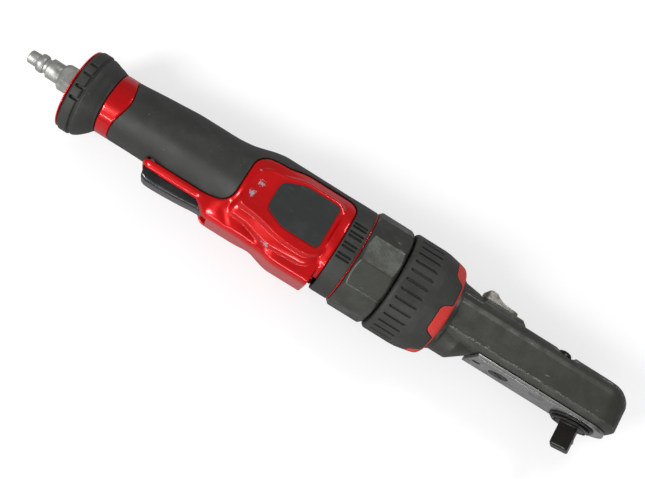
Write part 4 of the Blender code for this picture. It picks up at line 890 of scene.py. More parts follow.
@dataclass
class Inlet(Assembly):
    """The air plug and the inlet bushing that it screws into."""

    bore: float = 2.2
    facets: int = 72
    nipple: Profile = (
        (0.0, 2.9), (0.5, 3.4), (4.2, 3.5), (4.6, 3.35), (5.0, 3.5), (5.6, 4.55), (6.2, 4.8), (8.2, 4.8),
        (8.8, 4.5), (9.2, 3.8), (10.3, 3.8), (10.7, 4.1), (11.3, 5.1), (11.7, 5.2), (17.4, 5.2), (18.0, 4.9),
        (19.2, 4.9), (26.8, 4.9), (27.3, 5.8),
    )
    hexagon_ends: Flat = (18.2, 27.2)
    hexagon_flats: float = 12.7
    hexagon_faces: Flat = (6.0, 6.5)
    hexagon_hole: float = 4.0
    thread_rear: float = 27.9
    thread_turns: int = 9
    pitch: float = 1.15
    crest: float = 6.15
    root: float = 5.75
    end: Flat = (38.7, 5.6)
    bushing: Profile = (
        (27.5, 6.5), (27.5, 9.1), (28.1, 9.7), (42.6, 9.7), (43.0, 9.3), (43.0, 5.1), (40.1, 5.1),
        (40.1, 6.5),
    )

    def hexagon(self) -> Solid:
        """Makes the plug's hexagon with turned chamfers and a hole for the plug.

        Returns:
            The solid.
        """
        rear, front = self.hexagon_ends
        corner = self.hexagon_flats / 2 / cos(pi / 6)
        rear_face, front_face = self.hexagon_faces
        chamfers = [(rear - 0.1, 0), (rear - 0.1, rear_face), (rear + 1.3, corner), (front - 0.9, corner),
                    (front + 0.1, front_face), (front + 0.1, 0)]
        hexagon = self.shop.prism(polygon(corner, 6), rear, front, Axis.X)
        hexagon = self.shop.carve(hexagon, Cut.KEEP, self.shop.turned(chamfers, steps=self.facets))
        return self.shop.carve(hexagon, Cut.CUT, self.shop.rod(rear - 2, front + 2, self.hexagon_hole))

    def build(self) -> None:
        """Makes the plug and the bushing."""
        profile = [(0.0, self.bore), *self.nipple]
        for k in range(self.thread_turns):
            at = self.thread_rear + self.pitch * k
            profile += [(at, self.crest), (at + 0.5, self.root)]
        profile += [self.end, (self.end[0], self.bore)]
        plug = self.shop.turned(profile, closed=True, steps=self.facets)
        plug = self.shop.carve(plug, Cut.JOIN, self.hexagon())
        self.shop.publish(plug, "plug_body", "air_plug", Look.ZINC, angle=MACHINED)
        bushing = self.shop.turned(self.bushing, closed=True, steps=self.facets)
        self.shop.publish(bushing, "inlet_ring", "inlet_bushing", Look.BLACK_OXIDE, slot=Look.BARE_STEEL)


@dataclass
class Handle(Assembly):
    """The red housing with its rubber boot and grip, the data plate and the exhaust hump.

    Stations are of (x, back, front, side), and of (x, half top, half sole, depth) for the keel.
    """

    rubber: float = 2.6
    rear: float = 28.4
    band: Flat = (45.6, 52.6)
    ring_front: float = 186.0
    ring_radius: float = 25.0
    rim: float = 0.5
    nose_front: float = 197.25
    level: float = 21.5
    plate_thickness: float = 0.8
    stations: Stations = (
        (45.6, 17.5, 14.9, 16.2), (52.6, 17.5, 14.9, 16.2), (62.9, 18.3, 14.9, 16.8),
        (74.6, 19.2, 15.1, 17.7), (88.3, 20.0, 16.6, 19.0), (106.2, 20.0, 17.1, 19.6),
        (115.1, 20.8, 18.5, 20.4), (121.3, 22.3, 20.5, 21.6), (127.3, 24.0, 22.0, 23.0),
        (133.8, 24.9, 23.0, 24.1), (168.0, 24.9, 23.0, 24.1), (178.0, 25.0, 25.0, 25.0),
        (186.0, 25.0, 25.0, 25.0),
    )
    keel_stations: Stations = (
        (73.9, 7.6, 6.0, 15.0), (75.4, 9.4, 8.6, 18.4), (78.4, 10.6, 9.8, 19.5), (105.8, 11.0, 9.9, 19.6),
        (110.1, 12.6, 10.6, 22.7), (113.5, 15.6, 11.6, 25.1), (119.0, 17.4, 12.4, 25.1),
        (131.0, 17.6, 12.4, 25.1), (140.5, 15.4, 10.2, 25.0), (147.8, 19.0, 13.0, 26.3),
        (151.3, 19.5, 13.3, 27.2), (154.3, 19.5, 13.3, 27.6), (173.2, 19.5, 13.3, 27.6),
    )
    boot_stations: Stations = (
        (29.6, 19.8, 22.2, 21.0), (30.7, 20.6, 23.0, 21.8), (34.9, 20.6, 23.0, 21.8),
        (35.3, 19.2, 21.6, 20.4), (36.0, 19.1, 21.5, 20.3), (36.5, 20.0, 22.4, 21.2),
        (38.4, 19.6, 21.6, 20.5), (40.4, 18.9, 20.1, 19.2), (42.8, 18.3, 17.6, 17.8),
        (45.3, 17.5, 14.9, 16.2),
    )
    platform_edge: Profile = (
        (124.4, -12.6), (134.6, -13.2), (145.0, -15.8), (152.0, -17.2), (164.8, -17.2), (171.4, -13.0),
        (171.4, 11.4), (167.4, 14.6), (147.5, 14.4), (137.0, 11.0), (128.0, 10.0), (124.2, 5.6),
    )
    platform_foot: Profile = (
        (122.4, -17.8), (133.4, -18.4), (141.4, -20.8), (147.2, -22.2), (166.4, -21.6), (173.4, -16.4),
        (173.6, 14.0), (169.4, 17.8), (147.5, 17.6), (137.0, 14.6), (127.5, 13.2), (122.0, 8.0),
    )
    skirt: Profile = (
        (9.0, 1.0), (15.0, 1.0), (16.4, 0.92), (18.3, 0.42), (18.8, 0.16), (20.4, 0.03), (21.5, -0.10),
    )
    flange: Profile = ((28.4, 0), (28.4, 20.9), (28.6, 21.1), (29.1, 21.1), (29.3, 20.9), (29.3, 0))
    airway: Profile = ((22, 0), (22, 10.0), (43.3, 10.0), (43.3, 4.5), (92.3, 4.5), (92.3, 0))
    motor_bore: Point = (123.3, 205, 19.3)
    notch_angles: tuple[float, ...] = (-19.5, -4.2, 14.5, 30.8)
    groove_angles: tuple[float, ...] = (-19.5, -7.2, 6.9, 20.4)
    groove_offset: float = 2.3

    def form(self, rear: float, front: float, inset: float) -> Solid:
        """Makes the handle's smooth outer form between two stations.

        Args:
            rear: Where it starts.
            front: Where it ends.
            inset: How far it is drawn in.

        Returns:
            The solid.
        """
        rows = [row for row in smooth_stations(self.stations, 2.0) if rear < row[0] < front]
        rows = [(rear, *self.row_at(rear)), *rows, (front, *self.row_at(front))]
        return self.shop.loft([oval(x, back, face, side, inset) for x, back, face, side in rows])

    def row_at(self, x: float) -> tuple[float, ...]:
        """The section's sizes at x, held past the ends."""
        rows = smooth_stations(self.stations, 1.0)
        return min(rows, key=lambda row: abs(row[0] - x))[1:]

    def window(self, grow: float) -> Solid:
        """Makes a cutter where the red shows through the rubber, seen from the plate's side.

        Args:
            grow: How far the outline is drawn out.

        Returns:
            The cutter, right through the handle.
        """
        points = [(73.6 - grow, -THROUGH), (73.6 - grow, -16.4 + grow), (76.0 - grow, -14.6 + grow)]
        points += arc(7.5 - grow, -pi / 2, 0, 10, (113.8, -7.1))
        points += arc(8.0 + grow, pi, pi / 2, 10, (129.3, 8.0))
        points += [(137.8, 16.5 + grow), (144.3, 18.7 + grow), (148.3, 19.5 + grow)]
        points += arc(6.0 + grow, pi / 2, 0, 10, (170.0, 13.5))
        points += [(176.0 + grow, -THROUGH)]
        return self.shop.prism(points, -THROUGH, THROUGH)

    def band_region(self, grow: float) -> Solid:
        """Makes a cutter for the red band behind the grip, bulging forwards in the middle of each side.

        Args:
            grow: How far its front is moved out.

        Returns:
            The cutter, right through the handle.
        """
        rear = self.band[0]
        front = self.band[1] + grow
        outline = rounded([
            (rear, -40, 0.0), (front, -40, 0.0), (front, -11.5, 4.0), (front + 2.6, -4.5, 4.0),
            (front + 4.2, 2.0, 4.0), (front + 2.6, 8.5, 4.0), (front, 14.5, 4.0), (front, 40, 0.0),
            (rear, 40, 0.0),
        ])
        return self.shop.prism(outline, -THROUGH, THROUGH)

    def keel(self) -> Solid:
        """Makes the keel under the handle: lever rail, hood and exhaust hump.

        Returns:
            The solid, with sloping sides and a round corner on each side of the sole.
        """
        sections = []
        for x, top, sole, deep in smooth_stations(self.keel_stations, 1.6):
            corners = [(top, -8.0, 0.0), (sole, -deep, 4.2), (-sole, -deep, 4.2), (-top, -8.0, 0.0)]
            sections.append([(x, y, z) for z, y in rounded(corners, 5)])
        return self.shop.loft(sections)

    def platform_outline(self, share: float) -> list[Flat]:
        """Draws an outline of the platform round the plate.

        Args:
            share: 0 for its upper edge, 1 for the foot of its skirt and less than 0 for a line further in.

        Returns:
            The rounded outline, always with as many points.
        """
        pairs = zip(self.platform_edge, self.platform_foot)
        mixed = [(a[0] + share * (b[0] - a[0]), a[1] + share * (b[1] - a[1]), 3.0) for a, b in pairs]
        return rounded(mixed, 4)

    def platform(self, side: int) -> Solid:
        """The raised platform on one side, 1 or -1, with a skirt that slopes out to the panel."""
        rings = [(height, self.platform_outline(share)) for height, share in self.skirt]
        return self.shop.loft([[(x, y, side * height) for x, y in ring] for height, ring in rings])

    def platform_room(self, side: int) -> Solid:
        """The space above the platform's flat top on one side."""
        return self.shop.prism(self.platform_outline(-0.3), *sorted((side * self.level, side * 40.0)))

    def recess(self, grow: float) -> Solid:
        """The room under the handle that the lever swings up into, grown by an even amount."""
        return self.shop.block((76.3 - grow, -50, -7.6 - grow), (115.5 + grow, -12.2 + grow, 7.6 + grow))

    def valley(self, side: int) -> Solid:
        """Makes a rod that presses a slanting valley into the hood's flank.

        Args:
            side: Which flank, 1 or -1.

        Returns:
            The cutter.
        """
        start = Vector((119.0, -18.5, side * 19.0))
        end = Vector((128.5, -28.5, side * 15.2))
        rod = self.shop.rod(0, (end - start).length, 4.6)
        turn = Vector((1, 0, 0)).rotation_difference(end - start).to_matrix().to_4x4()
        rod.data.transform(Matrix.Translation(start) @ turn)
        return rod

    def build(self) -> None:
        """Makes the shell, the boot, the grip and the plate."""
        self.build_shell()
        self.build_boot()
        self.build_grip()
        self.build_plate()

    def build_shell(self) -> None:
        """Makes the red housing with its bores."""
        shop = self.shop
        shell = self.form(self.rear, self.ring_front + self.rim, self.rubber)
        raised = self.form(self.band[0], self.band[1] + 8.0, 0.0)
        raised = shop.carve(raised, Cut.KEEP, self.band_region(0.0))
        panel = self.form(60.0, 182.0, 0.7)
        panel = shop.carve(panel, Cut.JOIN, self.keel(), self.platform(1), self.platform(-1))
        panel = shop.carve(panel, Cut.CUT, self.platform_room(1), self.platform_room(-1), self.valley(1),
                           self.valley(-1))
        panel = shop.carve(panel, Cut.KEEP, self.window(0.0))
        shop.soften(panel, 0.5, 7)
        flange = shop.turned(self.flange, at=(0, -1.2, 0))
        nose = shop.turned([(176.0, 0), (176.0, 22.9), (self.nose_front - 0.5, 22.9), (self.nose_front, 22.4),
                            (self.nose_front, 0)])
        rim = shop.rod(self.ring_front, self.ring_front + self.rim, self.ring_radius)
        shell = shop.carve(shell, Cut.JOIN, panel, raised, flange, nose, rim)
        airway = shop.turned(self.airway)
        bore = shop.rod(*self.motor_bore)
        feed = shop.rod(88.3, 127.3, 3.0, at=(0, 6.2, 0))
        valve = shop.rod(-16.2, 8.5, 4.9, Axis.Y, (84.3, 0, 0))
        pin = shop.rod(-9.5, 9.5, 1.8, Axis.Z, (111.3, -19.6, 0))
        outlet = shop.block((158.2, -25.8, -9.5), (180, -18.5, 9.5))
        shell = shop.carve(shell, Cut.CUT, airway, bore, feed, self.recess(0.0), valve, pin, outlet)
        shop.soften(shell, 0.5, 2, 0.45)
        shop.publish(shell, "handle_shell", "handle_housing", Look.RED_PAINT, angle=MOULDED)

    def build_boot(self) -> None:
        """Makes the rear boot with its lip and notches."""
        shop = self.shop
        boot = shop.loft([oval(*row) for row in smooth_stations(self.boot_stations, 0.5)])
        core = shop.loft([oval(x, *self.stations[0][1:], self.rubber - GAP) for x in (20, 60)])
        notches = []
        for side in (1, -1):
            for degrees in self.notch_angles:
                turn = about_axis(side * (90 + degrees))
                notches.append(shop.block((31.0, 20.2, -0.8), (36.0, 26, 0.8), turn))
        boot = shop.carve(boot, Cut.CUT, core, *notches)
        shop.soften(boot, 0.35, 2, 0.7)
        shop.publish(boot, "boot_rubber", "rear_boot", Look.RUBBER, angle=MOULDED)

    def build_grip(self) -> None:
        """Makes the grip sleeve with the ring of grooves at its front."""
        shop = self.shop
        grip = self.form(self.band[1] + GAP, self.ring_front, 0.0)
        core = self.form(30.0, 200.0, self.rubber - GAP)
        grooves = []
        for side in (1, -1):
            for degrees in self.groove_angles:
                for offset in (-self.groove_offset, self.groove_offset):
                    turn = about_axis(side * (90 + degrees + offset))
                    grooves.append(shop.block((177.2, 23.5, -0.6), (184.8, 28, 0.6), turn))
        rooms = (self.window(GAP), self.band_region(GAP), self.recess(GAP))
        grip = shop.carve(grip, Cut.CUT, core, *rooms, *grooves)
        shop.soften(grip, 0.38, 2, 0.4)
        shop.publish(grip, "grip_rubber", "grip_sleeve", Look.RUBBER, angle=MOULDED)

    def build_plate(self) -> None:
        """Makes the data plate: a long hexagon that tapers to the rear."""
        outline = rounded([(137.4, -7.2, 3.0), (148.4, -11.8, 3.0), (168.2, -11.8, 2.4), (168.2, 11.8, 2.4),
                           (148.4, 11.8, 3.0), (137.4, 7.2, 3.0)])
        seat = self.level + GAP
        plate = self.shop.prism(outline, seat, seat + self.plate_thickness, ease=0.22)
        self.shop.publish(plate, "label_plate", "data_plate", Look.PLATE_BLACK)


@dataclass
class Throttle(Assembly):
    """The lever under the handle and the spring of the valve that it opens."""

    pivot: Flat = (111.3, -19.6)
    eye: float = 1.8
    half_width: float = 7.0
    rear: float = -34.2
    stations: Stations = (
        (-34.2, 1.4, 1.6), (-33.9, 2.1, 3.0), (-33.2, 2.4, 3.9), (-31.5, 2.4, 4.5), (-28.2, 2.4, 4.7),
        (-22.2, 2.4, 4.6), (-16.2, 2.4, 4.3), (-10.2, 2.6, 3.9), (-5.0, 2.9, 3.4), (0.0, 3.2, 3.2),
        (1.6, 2.8, 2.8), (2.6, 1.9, 1.9), (3.2, 0.4, 0.4),
    )
    wire: float = 0.7
    turns: int = 5

    def build(self) -> None:
        """Makes the lever and the spring."""
        self.build_lever()
        self.build_spring()

    def build_lever(self) -> None:
        """Makes the lever with its hollow and its eye, from stations of (x, top, depth) at the pivot."""
        x, y = self.pivot
        half = self.half_width
        sections = []
        for at, top, deep in smooth_stations(self.stations, 1.2):
            soft = min(2.6, deep)
            corners = [(half, top, 0.3), (half, -deep, soft), (-half, -deep, soft), (-half, top, 0.3)]
            sections.append([(x + at, y + v, u) for u, v in rounded(corners, 5)])
        lever = self.shop.loft(sections)
        hollow = self.shop.block((x + self.rear + 4, y - 2.7, -5.0), (x - 5, y + 9, 5.0))
        eye = self.shop.rod(-20, 20, self.eye, Axis.Z, (x, y, 0))
        lever = self.shop.carve(lever, Cut.CUT, hollow, eye)
        self.shop.soften(lever, 0.3, 3, 0.6)
        self.shop.publish(lever, "lever_cap", "throttle_lever", Look.GLOSS_BLACK, Body.THROTTLE,
                          angle=MOULDED)

    def build_spring(self) -> None:
        """Winds the valve's spring as a still coil. The real spring shortens as the valve opens."""
        low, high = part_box("valve_spring")
        foot = (low - ORIGIN) / MILLIMETRE
        top = (high - ORIGIN) / MILLIMETRE
        coil = (top.x - foot.x - self.wire) / 2
        rise = top.y - foot.y - self.wire
        steps = 24 * self.turns
        bm = bmesh.new()
        across = Matrix.Translation((coil, 0, 0)) @ Matrix.Rotation(pi / 2, 4, "X")
        ring = bmesh.ops.create_circle(bm, segments=10, radius=self.wire / 2, matrix=across)["verts"]
        bmesh.ops.spin(bm, geom=ring + bm.edges[:], cent=(0, 0, 0), axis=(0, 0, 1), dvec=(0, 0, rise / steps),
                       angle=2 * pi * self.turns, steps=steps)
        bmesh.ops.holes_fill(bm, edges=[edge for edge in bm.edges if edge.is_boundary])
        place = Matrix.Translation(((foot.x + top.x) / 2, foot.y + self.wire / 2, 0)) @ Axis.Y.turn()
        bmesh.ops.transform(bm, matrix=place, verts=bm.verts)
        spring = self.shop.publish(self.shop.solid(bm), "valve_coil", "valve_spring", Look.BARE_STEEL)
        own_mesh(spring)


@dataclass
class Clamp(Assembly):
    """The twelve-sided clamp nut and the ribbed collar with its red trim."""

    nut: Flat = (186.8, 207.6)
    nut_sides: int = 12
    nut_clock: float = 102.0
    corner: float = 26.9
    nut_bore: float = 23.5
    inner: float = 20.3
    collar: Flat = (208.6, 239.9)
    collar_radius: float = 27.3
    ribs: int = 33
    rib_clock: float = 14.5
    rib_length: float = 12.2
    rib_half_width: float = 0.7
    pads: int = 5
    pad_clock: float = 24.0

    def build(self) -> None:
        """Makes the nut, the collar and the trim."""
        self.build_nut()
        self.build_collar()

    def build_nut(self) -> None:
        """Makes the nut: twelve flats with turned chamfers."""
        shop = self.shop
        low, high = self.nut
        face = self.corner * cos(pi / self.nut_sides) - 1.0
        barrel = self.corner + 0.1
        lip = high - 3.8
        nut = shop.prism(polygon(self.corner, self.nut_sides, radians(self.nut_clock)), low, high, Axis.X)
        chamfers = shop.turned([(low - 0.2, 0), (low - 0.2, face), (low + 1.9, barrel), (high - 1.9, barrel),
                                (high + 0.2, face), (high + 0.2, 0)], steps=144)
        bore = shop.turned([(low - PAST, 0), (low - PAST, self.nut_bore), (lip, self.nut_bore),
                            (lip, self.inner), (high + PAST, self.inner), (high + PAST, 0)])
        nut = shop.carve(nut, Cut.KEEP, chamfers)
        nut = shop.carve(nut, Cut.CUT, bore)
        shop.soften(nut, 0.38, 2, 0.6)
        shop.publish(nut, "nut_body", "clamp_nut", Look.NUT_STEEL, angle=MOULDED)

    def collar_form(self) -> Solid:
        """Turns the collar's form: a straight rear, a taper and a rounded mouth.

        Returns:
            The solid.
        """
        low, high = self.collar
        radius = self.collar_radius
        profile = [(low, self.inner), (low, radius - 1.4), (low + 0.5, radius - 0.5), (low + 1.4, radius),
                   (low + 16.5, radius), (low + 19.5, radius - 0.2), (high - 5.0, radius - 1.5),
                   (high - 2.6, 25.2), (high - 1.4, 24.6), (high - 0.5, 23.4), (high - 0.1, 22.2),
                   (high, 21.4), (high, self.inner)]
        return self.shop.turned(profile, steps=132, closed=True)

    def trim_region(self, grow: float) -> Solid:
        """Makes the front line and its pads, which the trim keeps and the rubber leaves free.

        Args:
            grow: How far the region is drawn out.

        Returns:
            The solid.
        """
        high = self.collar[1]
        line = high - 1.5 - grow
        rear = high - 6.6 - grow
        region = self.shop.turned([(line, 14), (line, 34), (high + PAST, 34), (high + PAST, 14)], closed=True)
        outline = rounded([(rear, -6.9 - grow, 2.2), (line + 0.8, -9.6 - grow, 0.4),
                           (line + 0.8, 9.6 + grow, 0.4), (rear, 6.9 + grow, 2.2)])
        pads = [self.shop.prism(outline, 22.2 - grow, 34) for _ in range(self.pads)]
        for k, pad in enumerate(pads):
            pad.data.transform(about_axis(self.pad_clock + 360 * k / self.pads))
        return self.shop.carve(region, Cut.JOIN, *pads)

    def build_collar(self) -> None:
        """Makes the rubber collar with its ribs, and the trim let into it."""
        shop = self.shop
        rear = self.collar[0] + 3.0
        front = rear + self.rib_length
        half = self.rib_half_width
        slot = rounded([(rear, -half, 0.6), (front, -half, 0.6), (front, half, 0.6), (rear, half, 0.6)], 3)
        floor = self.collar_radius - 1.2
        top = self.collar_radius + 3
        grooves = [shop.prism(slot, floor, top) for _ in range(self.ribs)]
        for k, groove in enumerate(grooves):
            groove.data.transform(about_axis(self.rib_clock + 360 * k / self.ribs))
        collar = shop.carve(self.collar_form(), Cut.CUT, self.trim_region(0.15), *grooves)
        shop.soften(collar, 0.34, 2, 0.5)
        shop.publish(collar, "collar_rubber", "head_collar", Look.RUBBER, angle=MOULDED)
        trim = shop.carve(self.collar_form(), Cut.KEEP, self.trim_region(0.0))
        shop.soften(trim, 0.3, 2, 0.6)
        shop.publish(trim, "collar_inlay", "collar_trim", Look.TRIM_RED, angle=MOULDED)


@dataclass
class Head(Assembly):
    """The ratchet head with its cover plate, grease cap and reverse lever.

    Shapes that stand across the head are turned about axes along Y, at an x and a z.
    """

    rear: float = 243.2
    front: float = 346.8
    half_width: float = 16.2
    face: float = 10.35
    chamfers: Profile = (
        (-10.35, 3.3), (-8.6, 1.2), (-7.35, 0.0), (6.1, 0.0), (8.6, 0.7), (10.9, 2.2), (12.6, 3.9),
        (13.5, 5.4),
    )
    neck: Stations = (
        (240.2, 19.8, 19.8, 19.8), (243.2, 19.6, 19.3, 15.9), (252.2, 18.4, 19.3, 14.6),
        (266.2, 12.7, 9.1, 11.2),
    )
    spigot: Profile = ((197.8, 0), (197.8, 23.2), (203.5, 23.2), (203.5, 20.0), (242.2, 20.0), (242.2, 0))
    boss: Profile = ((255.2, 5.0), (255.2, 17.0), (277.2, 17.0), (282.2, 12.5), (282.2, 5.0))
    bore: Profile = ((190, 0), (190, 19.3), (204.1, 19.3), (204.1, 14.3), (216.6, 14.3), (216.6, 9.8),
                     (263.8, 9.8), (263.8, 7.1), (277, 7.1), (277, 0))
    anvil: Point = (325.5, 0, 0)
    grease: Point = (303.6, 0, 8.0)
    pivot: Point = (269.7, 0, 0)
    screw: Point = (267.8, 0, 0)
    plug: Point = (281.0, 0, 0)
    pivot_radius: float = 2.5
    cavity: float = 11.8
    cavity_rear: float = 272.6
    cavity_ceiling: float = 5.7
    cover: Flat = (-12.65, -10.65)
    cover_rear: float = 263.8
    cover_half_width: float = 12.2
    grease_cap: Profile = (
        (8.3, 0), (8.3, 2.5), (11.3, 2.5), (11.3, 4.2), (12.4, 4.2), (13.2, 3.9), (13.9, 3.2), (14.4, 2.1),
        (14.65, 1.0), (14.7, 0),
    )
    grease_seat: Profile = ((8.0, 0), (8.0, 2.8), (11.0, 2.8), (11.0, 6.0), (18, 6.0), (18, 0))
    bushing: Profile = ((-13.95, 8.5), (-13.95, 11.5), (-13.6, 11.9), (-12.95, 11.9), (-12.95, 10.0),
                        (-10.65, 10.0), (-10.65, 8.5))
    paddle_side: Profile = (
        (255.2, 18.0), (255.8, 17.3), (275.2, 17.3), (275.2, 19.0), (274.0, 19.5), (268.4, 19.6),
        (264.6, 20.1), (262.0, 21.3), (260.2, 22.7), (258.0, 23.1), (256.2, 22.6), (255.2, 21.1),
    )
    paddle_plan: Sequence[Point] = (
        (255.2, -4.2, 1.5), (262, -5.0, 4.0), (275.2, -5.0, 4.9), (275.2, 5.0, 4.9), (262, 5.0, 4.0),
        (255.2, 4.2, 1.5),
    )

    def plan(self, y: float, inset: float) -> list[Point]:
        """Draws the head seen along Y: straight sides and a round nose.

        Args:
            y: Where the ring lies.
            inset: How far it is drawn in.

        Returns:
            The ring of points.
        """
        half = self.half_width - inset
        nose = arc(half, -pi / 2, pi / 2, 48, (self.front - self.half_width, 0))
        return [(x, y, z) for x, z in [(self.rear, -half), *nose, (self.rear, half)]]

    def tongue(self, half: float, middle: float, rear: float, steps: int) -> list[Flat]:
        """An outline for shapes along Y: a round front about the middle and a square rear."""
        nose = [(x, -z) for x, z in arc(half, -pi / 2, pi / 2, steps, (middle, 0))]
        return nose + [(rear, -half), (rear, half)]

    def build(self) -> None:
        """Makes the casting and everything on it."""
        self.build_casting()
        self.build_cover()
        self.build_reverse()

    def build_casting(self) -> None:
        """Makes the head's casting with its bores, and the grease cap."""
        shop = self.shop
        casting = shop.loft([self.plan(y, inset) for y, inset in self.chamfers])
        neck = shop.loft([oval(*row) for row in self.neck])
        spigot = shop.turned(self.spigot)
        boss = shop.prism(self.boss, -8, 8)
        relief = shop.prism([(263.5, -30), (347, -30), (347, 30), (263.5, 30)], -40, -self.face, Axis.Y)
        casting = shop.carve(casting, Cut.JOIN, neck, spigot, boss)
        casting = shop.carve(casting, Cut.CUT, relief)
        bore = shop.turned(self.bore)
        room = self.tongue(self.cavity, self.anvil[0], self.cavity_rear, 32)
        yoke = shop.prism(room, -16, self.cavity_ceiling, Axis.Y)
        journal = shop.rod(1.6, 11.4, 6.3, Axis.Y, self.anvil)
        seat = shop.turned(self.grease_seat, Axis.Y, self.grease)
        pin = shop.rod(11.7, 21, self.pivot_radius, Axis.Y, self.pivot)
        screw = shop.rod(-15, -7.7, 1.7, Axis.Y, self.screw)
        casting = shop.carve(casting, Cut.CUT, bore, yoke, journal, seat, pin, screw)
        shop.soften(casting, 0.45, 3, 0.5)
        shop.publish(casting, "head_casting", "head_housing", Look.GUNMETAL, angle=MOULDED)
        cap = shop.turned(self.grease_cap, Axis.Y, self.grease)
        shop.publish(cap, "grease_cap", "grease_plug", Look.BLACK_OXIDE)

    def build_cover(self) -> None:
        """Makes the cover plate with its screw, plug and bushing."""
        shop = self.shop
        low, high = self.cover
        plan = self.tongue(self.cover_half_width, self.front - self.half_width, self.cover_rear, 40)
        cover = shop.prism(plan, low, high, Axis.Y, ease=0.3)
        holes = [shop.rod(-20, 0, 10.3, Axis.Y, self.anvil, 96), shop.rod(-20, 0, 2.4, Axis.Y, self.screw),
                 shop.rod(-20, 0, 5.5, Axis.Y, self.plug)]
        dots = [shop.rod(-20, low + 0.3, 0.8, Axis.Y, (x, 0, z), 24) for x, z in ((298.0, 5.0), (308.0, 6.5))]
        cover = shop.carve(cover, Cut.CUT, *holes, *dots)
        shop.publish(cover, "cover_sheet", "anvil_cover_plate", Look.BARE_STEEL, angle=MACHINED)
        screw = shop.turned([(low, 0), (low, 1.8), (low + 0.3, 2.1), (high, 2.1), (high, 1.4), (-8.0, 1.4),
                             (-8.0, 0)], Axis.Y, self.screw, 48)
        screw = shop.carve(screw, Cut.CUT, shop.block((265.4, -13.2, -0.3), (270.2, -12.1, 0.3)))
        shop.publish(screw, "cover_bolt", "cover_screw", Look.BLACK_OXIDE, angle=MACHINED)
        button = [(low, 0), (low, 4.8), (low + 0.4, 5.2), (high, 5.2), (high, 0)]
        plug = shop.turned(button, Axis.Y, self.plug)
        turn = Matrix.Translation(self.plug) @ Matrix.Rotation(radians(30), 4, "Y")
        plug = shop.carve(plug, Cut.CUT, shop.block((-3.4, -16, -0.5), (3.4, -11.9, 0.5), turn))
        shop.publish(plug, "cover_button", "cover_plug", Look.BLACK_OXIDE, angle=MACHINED)
        bushing = shop.turned(self.bushing, Axis.Y, self.anvil, 96, True)
        shop.publish(bushing, "drive_bushing_ring", "anvil_bushing", Look.BLACK_OXIDE, slot=Look.BARE_STEEL,
                     angle=MACHINED)

    def build_reverse(self) -> None:
        """Makes the reverse lever: a rounded paddle with a raised rear tab."""
        shop = self.shop
        paddle = shop.prism(self.paddle_side, -5, 5)
        plan = shop.prism([(x, -z) for x, z in rounded(self.paddle_plan)], 10, 30, Axis.Y)
        eye = shop.rod(10, 40, self.pivot_radius, Axis.Y, self.pivot)
        paddle = shop.carve(paddle, Cut.KEEP, plan)
        paddle = shop.carve(paddle, Cut.CUT, eye)
        shop.soften(paddle, 0.22, 2, 0.6)
        shop.publish(paddle, "reverse_paddle", "reverse_lever", Look.WORN_SILVER, Body.REVERSE,
                     Look.BARE_STEEL, MOULDED)


@dataclass
class Drive(Assembly):
    """The square drive with its drum, detent ball and retaining ring, turned about an axis along Y."""

    at: Point = (325.5, 0, 0)
    clock: float = 28.6
    side: float = 9.525
    square: Flat = (-28.35, -13.35)
    drum: Profile = (
        (-15.35, 0), (-15.35, 7.6), (-14.8, 8.2), (-10.65, 8.2), (-10.65, 9.2), (5.3, 9.2), (5.3, 6.0),
        (10.8, 6.0), (10.8, 0),
    )
    ring: Profile = (
        (-15.15, 8.5), (-15.15, 10.1), (-14.9, 10.4), (-14.5, 10.4), (-14.25, 10.1), (-14.25, 8.5),
    )
    ball: float = 1.9
    ball_seat: float = 2.2
    ball_y: float = -22.35
    ball_out: float = 0.8

    def build(self) -> None:
        """Makes the anvil, the ball and the ring."""
        shop = self.shop
        turn = Matrix.Translation(self.at) @ Matrix.Rotation(-radians(self.clock), 4, "Y")
        half = self.side / 2
        drum = shop.turned(self.drum, Axis.Y, self.at)
        low, high = self.square
        square = shop.block((-half, low, -half), (half, high, half), turn, 1.1)
        slot = shop.block((-20, -3.4, -3.91), (20, 3.4, 3.91), turn)
        pin = shop.rod(-6.4, 6.4, 1.9, Axis.Y, self.at)
        seat = shop.rod(-0.2, 9, self.ball_seat)
        seat.data.transform(turn @ Matrix.Translation((0, self.ball_y, 0)))
        drum = shop.carve(drum, Cut.JOIN, square)
        drum = shop.carve(drum, Cut.CUT, slot, pin, seat)
        shop.soften(drum, 0.3, 2, 0.6)
        shop.publish(drum, "drive_square", "anvil", Look.BLACK_OXIDE, Body.DRIVE, angle=MOULDED)
        bm = bmesh.new()
        bmesh.ops.create_icosphere(bm, subdivisions=4, radius=self.ball)
        bmesh.ops.translate(bm, vec=(half + self.ball_out - self.ball, self.ball_y, 0), verts=bm.verts)
        bmesh.ops.transform(bm, matrix=turn, verts=bm.verts)
        shop.publish(shop.solid(bm), "detent_bead", "detent_ball", Look.BARE_STEEL, Body.BALL)
        ring = shop.turned(self.ring, Axis.Y, self.at, 96, True)
        gap = shop.block((self.at[0] + 6, -16, -1.6), (self.at[0] + 13, -13, 1.6))
        ring = shop.carve(ring, Cut.CUT, gap)
        shop.publish(ring, "snap_ring", "retaining_ring", Look.BLACK_OXIDE, Body.DRIVE, angle=MACHINED)


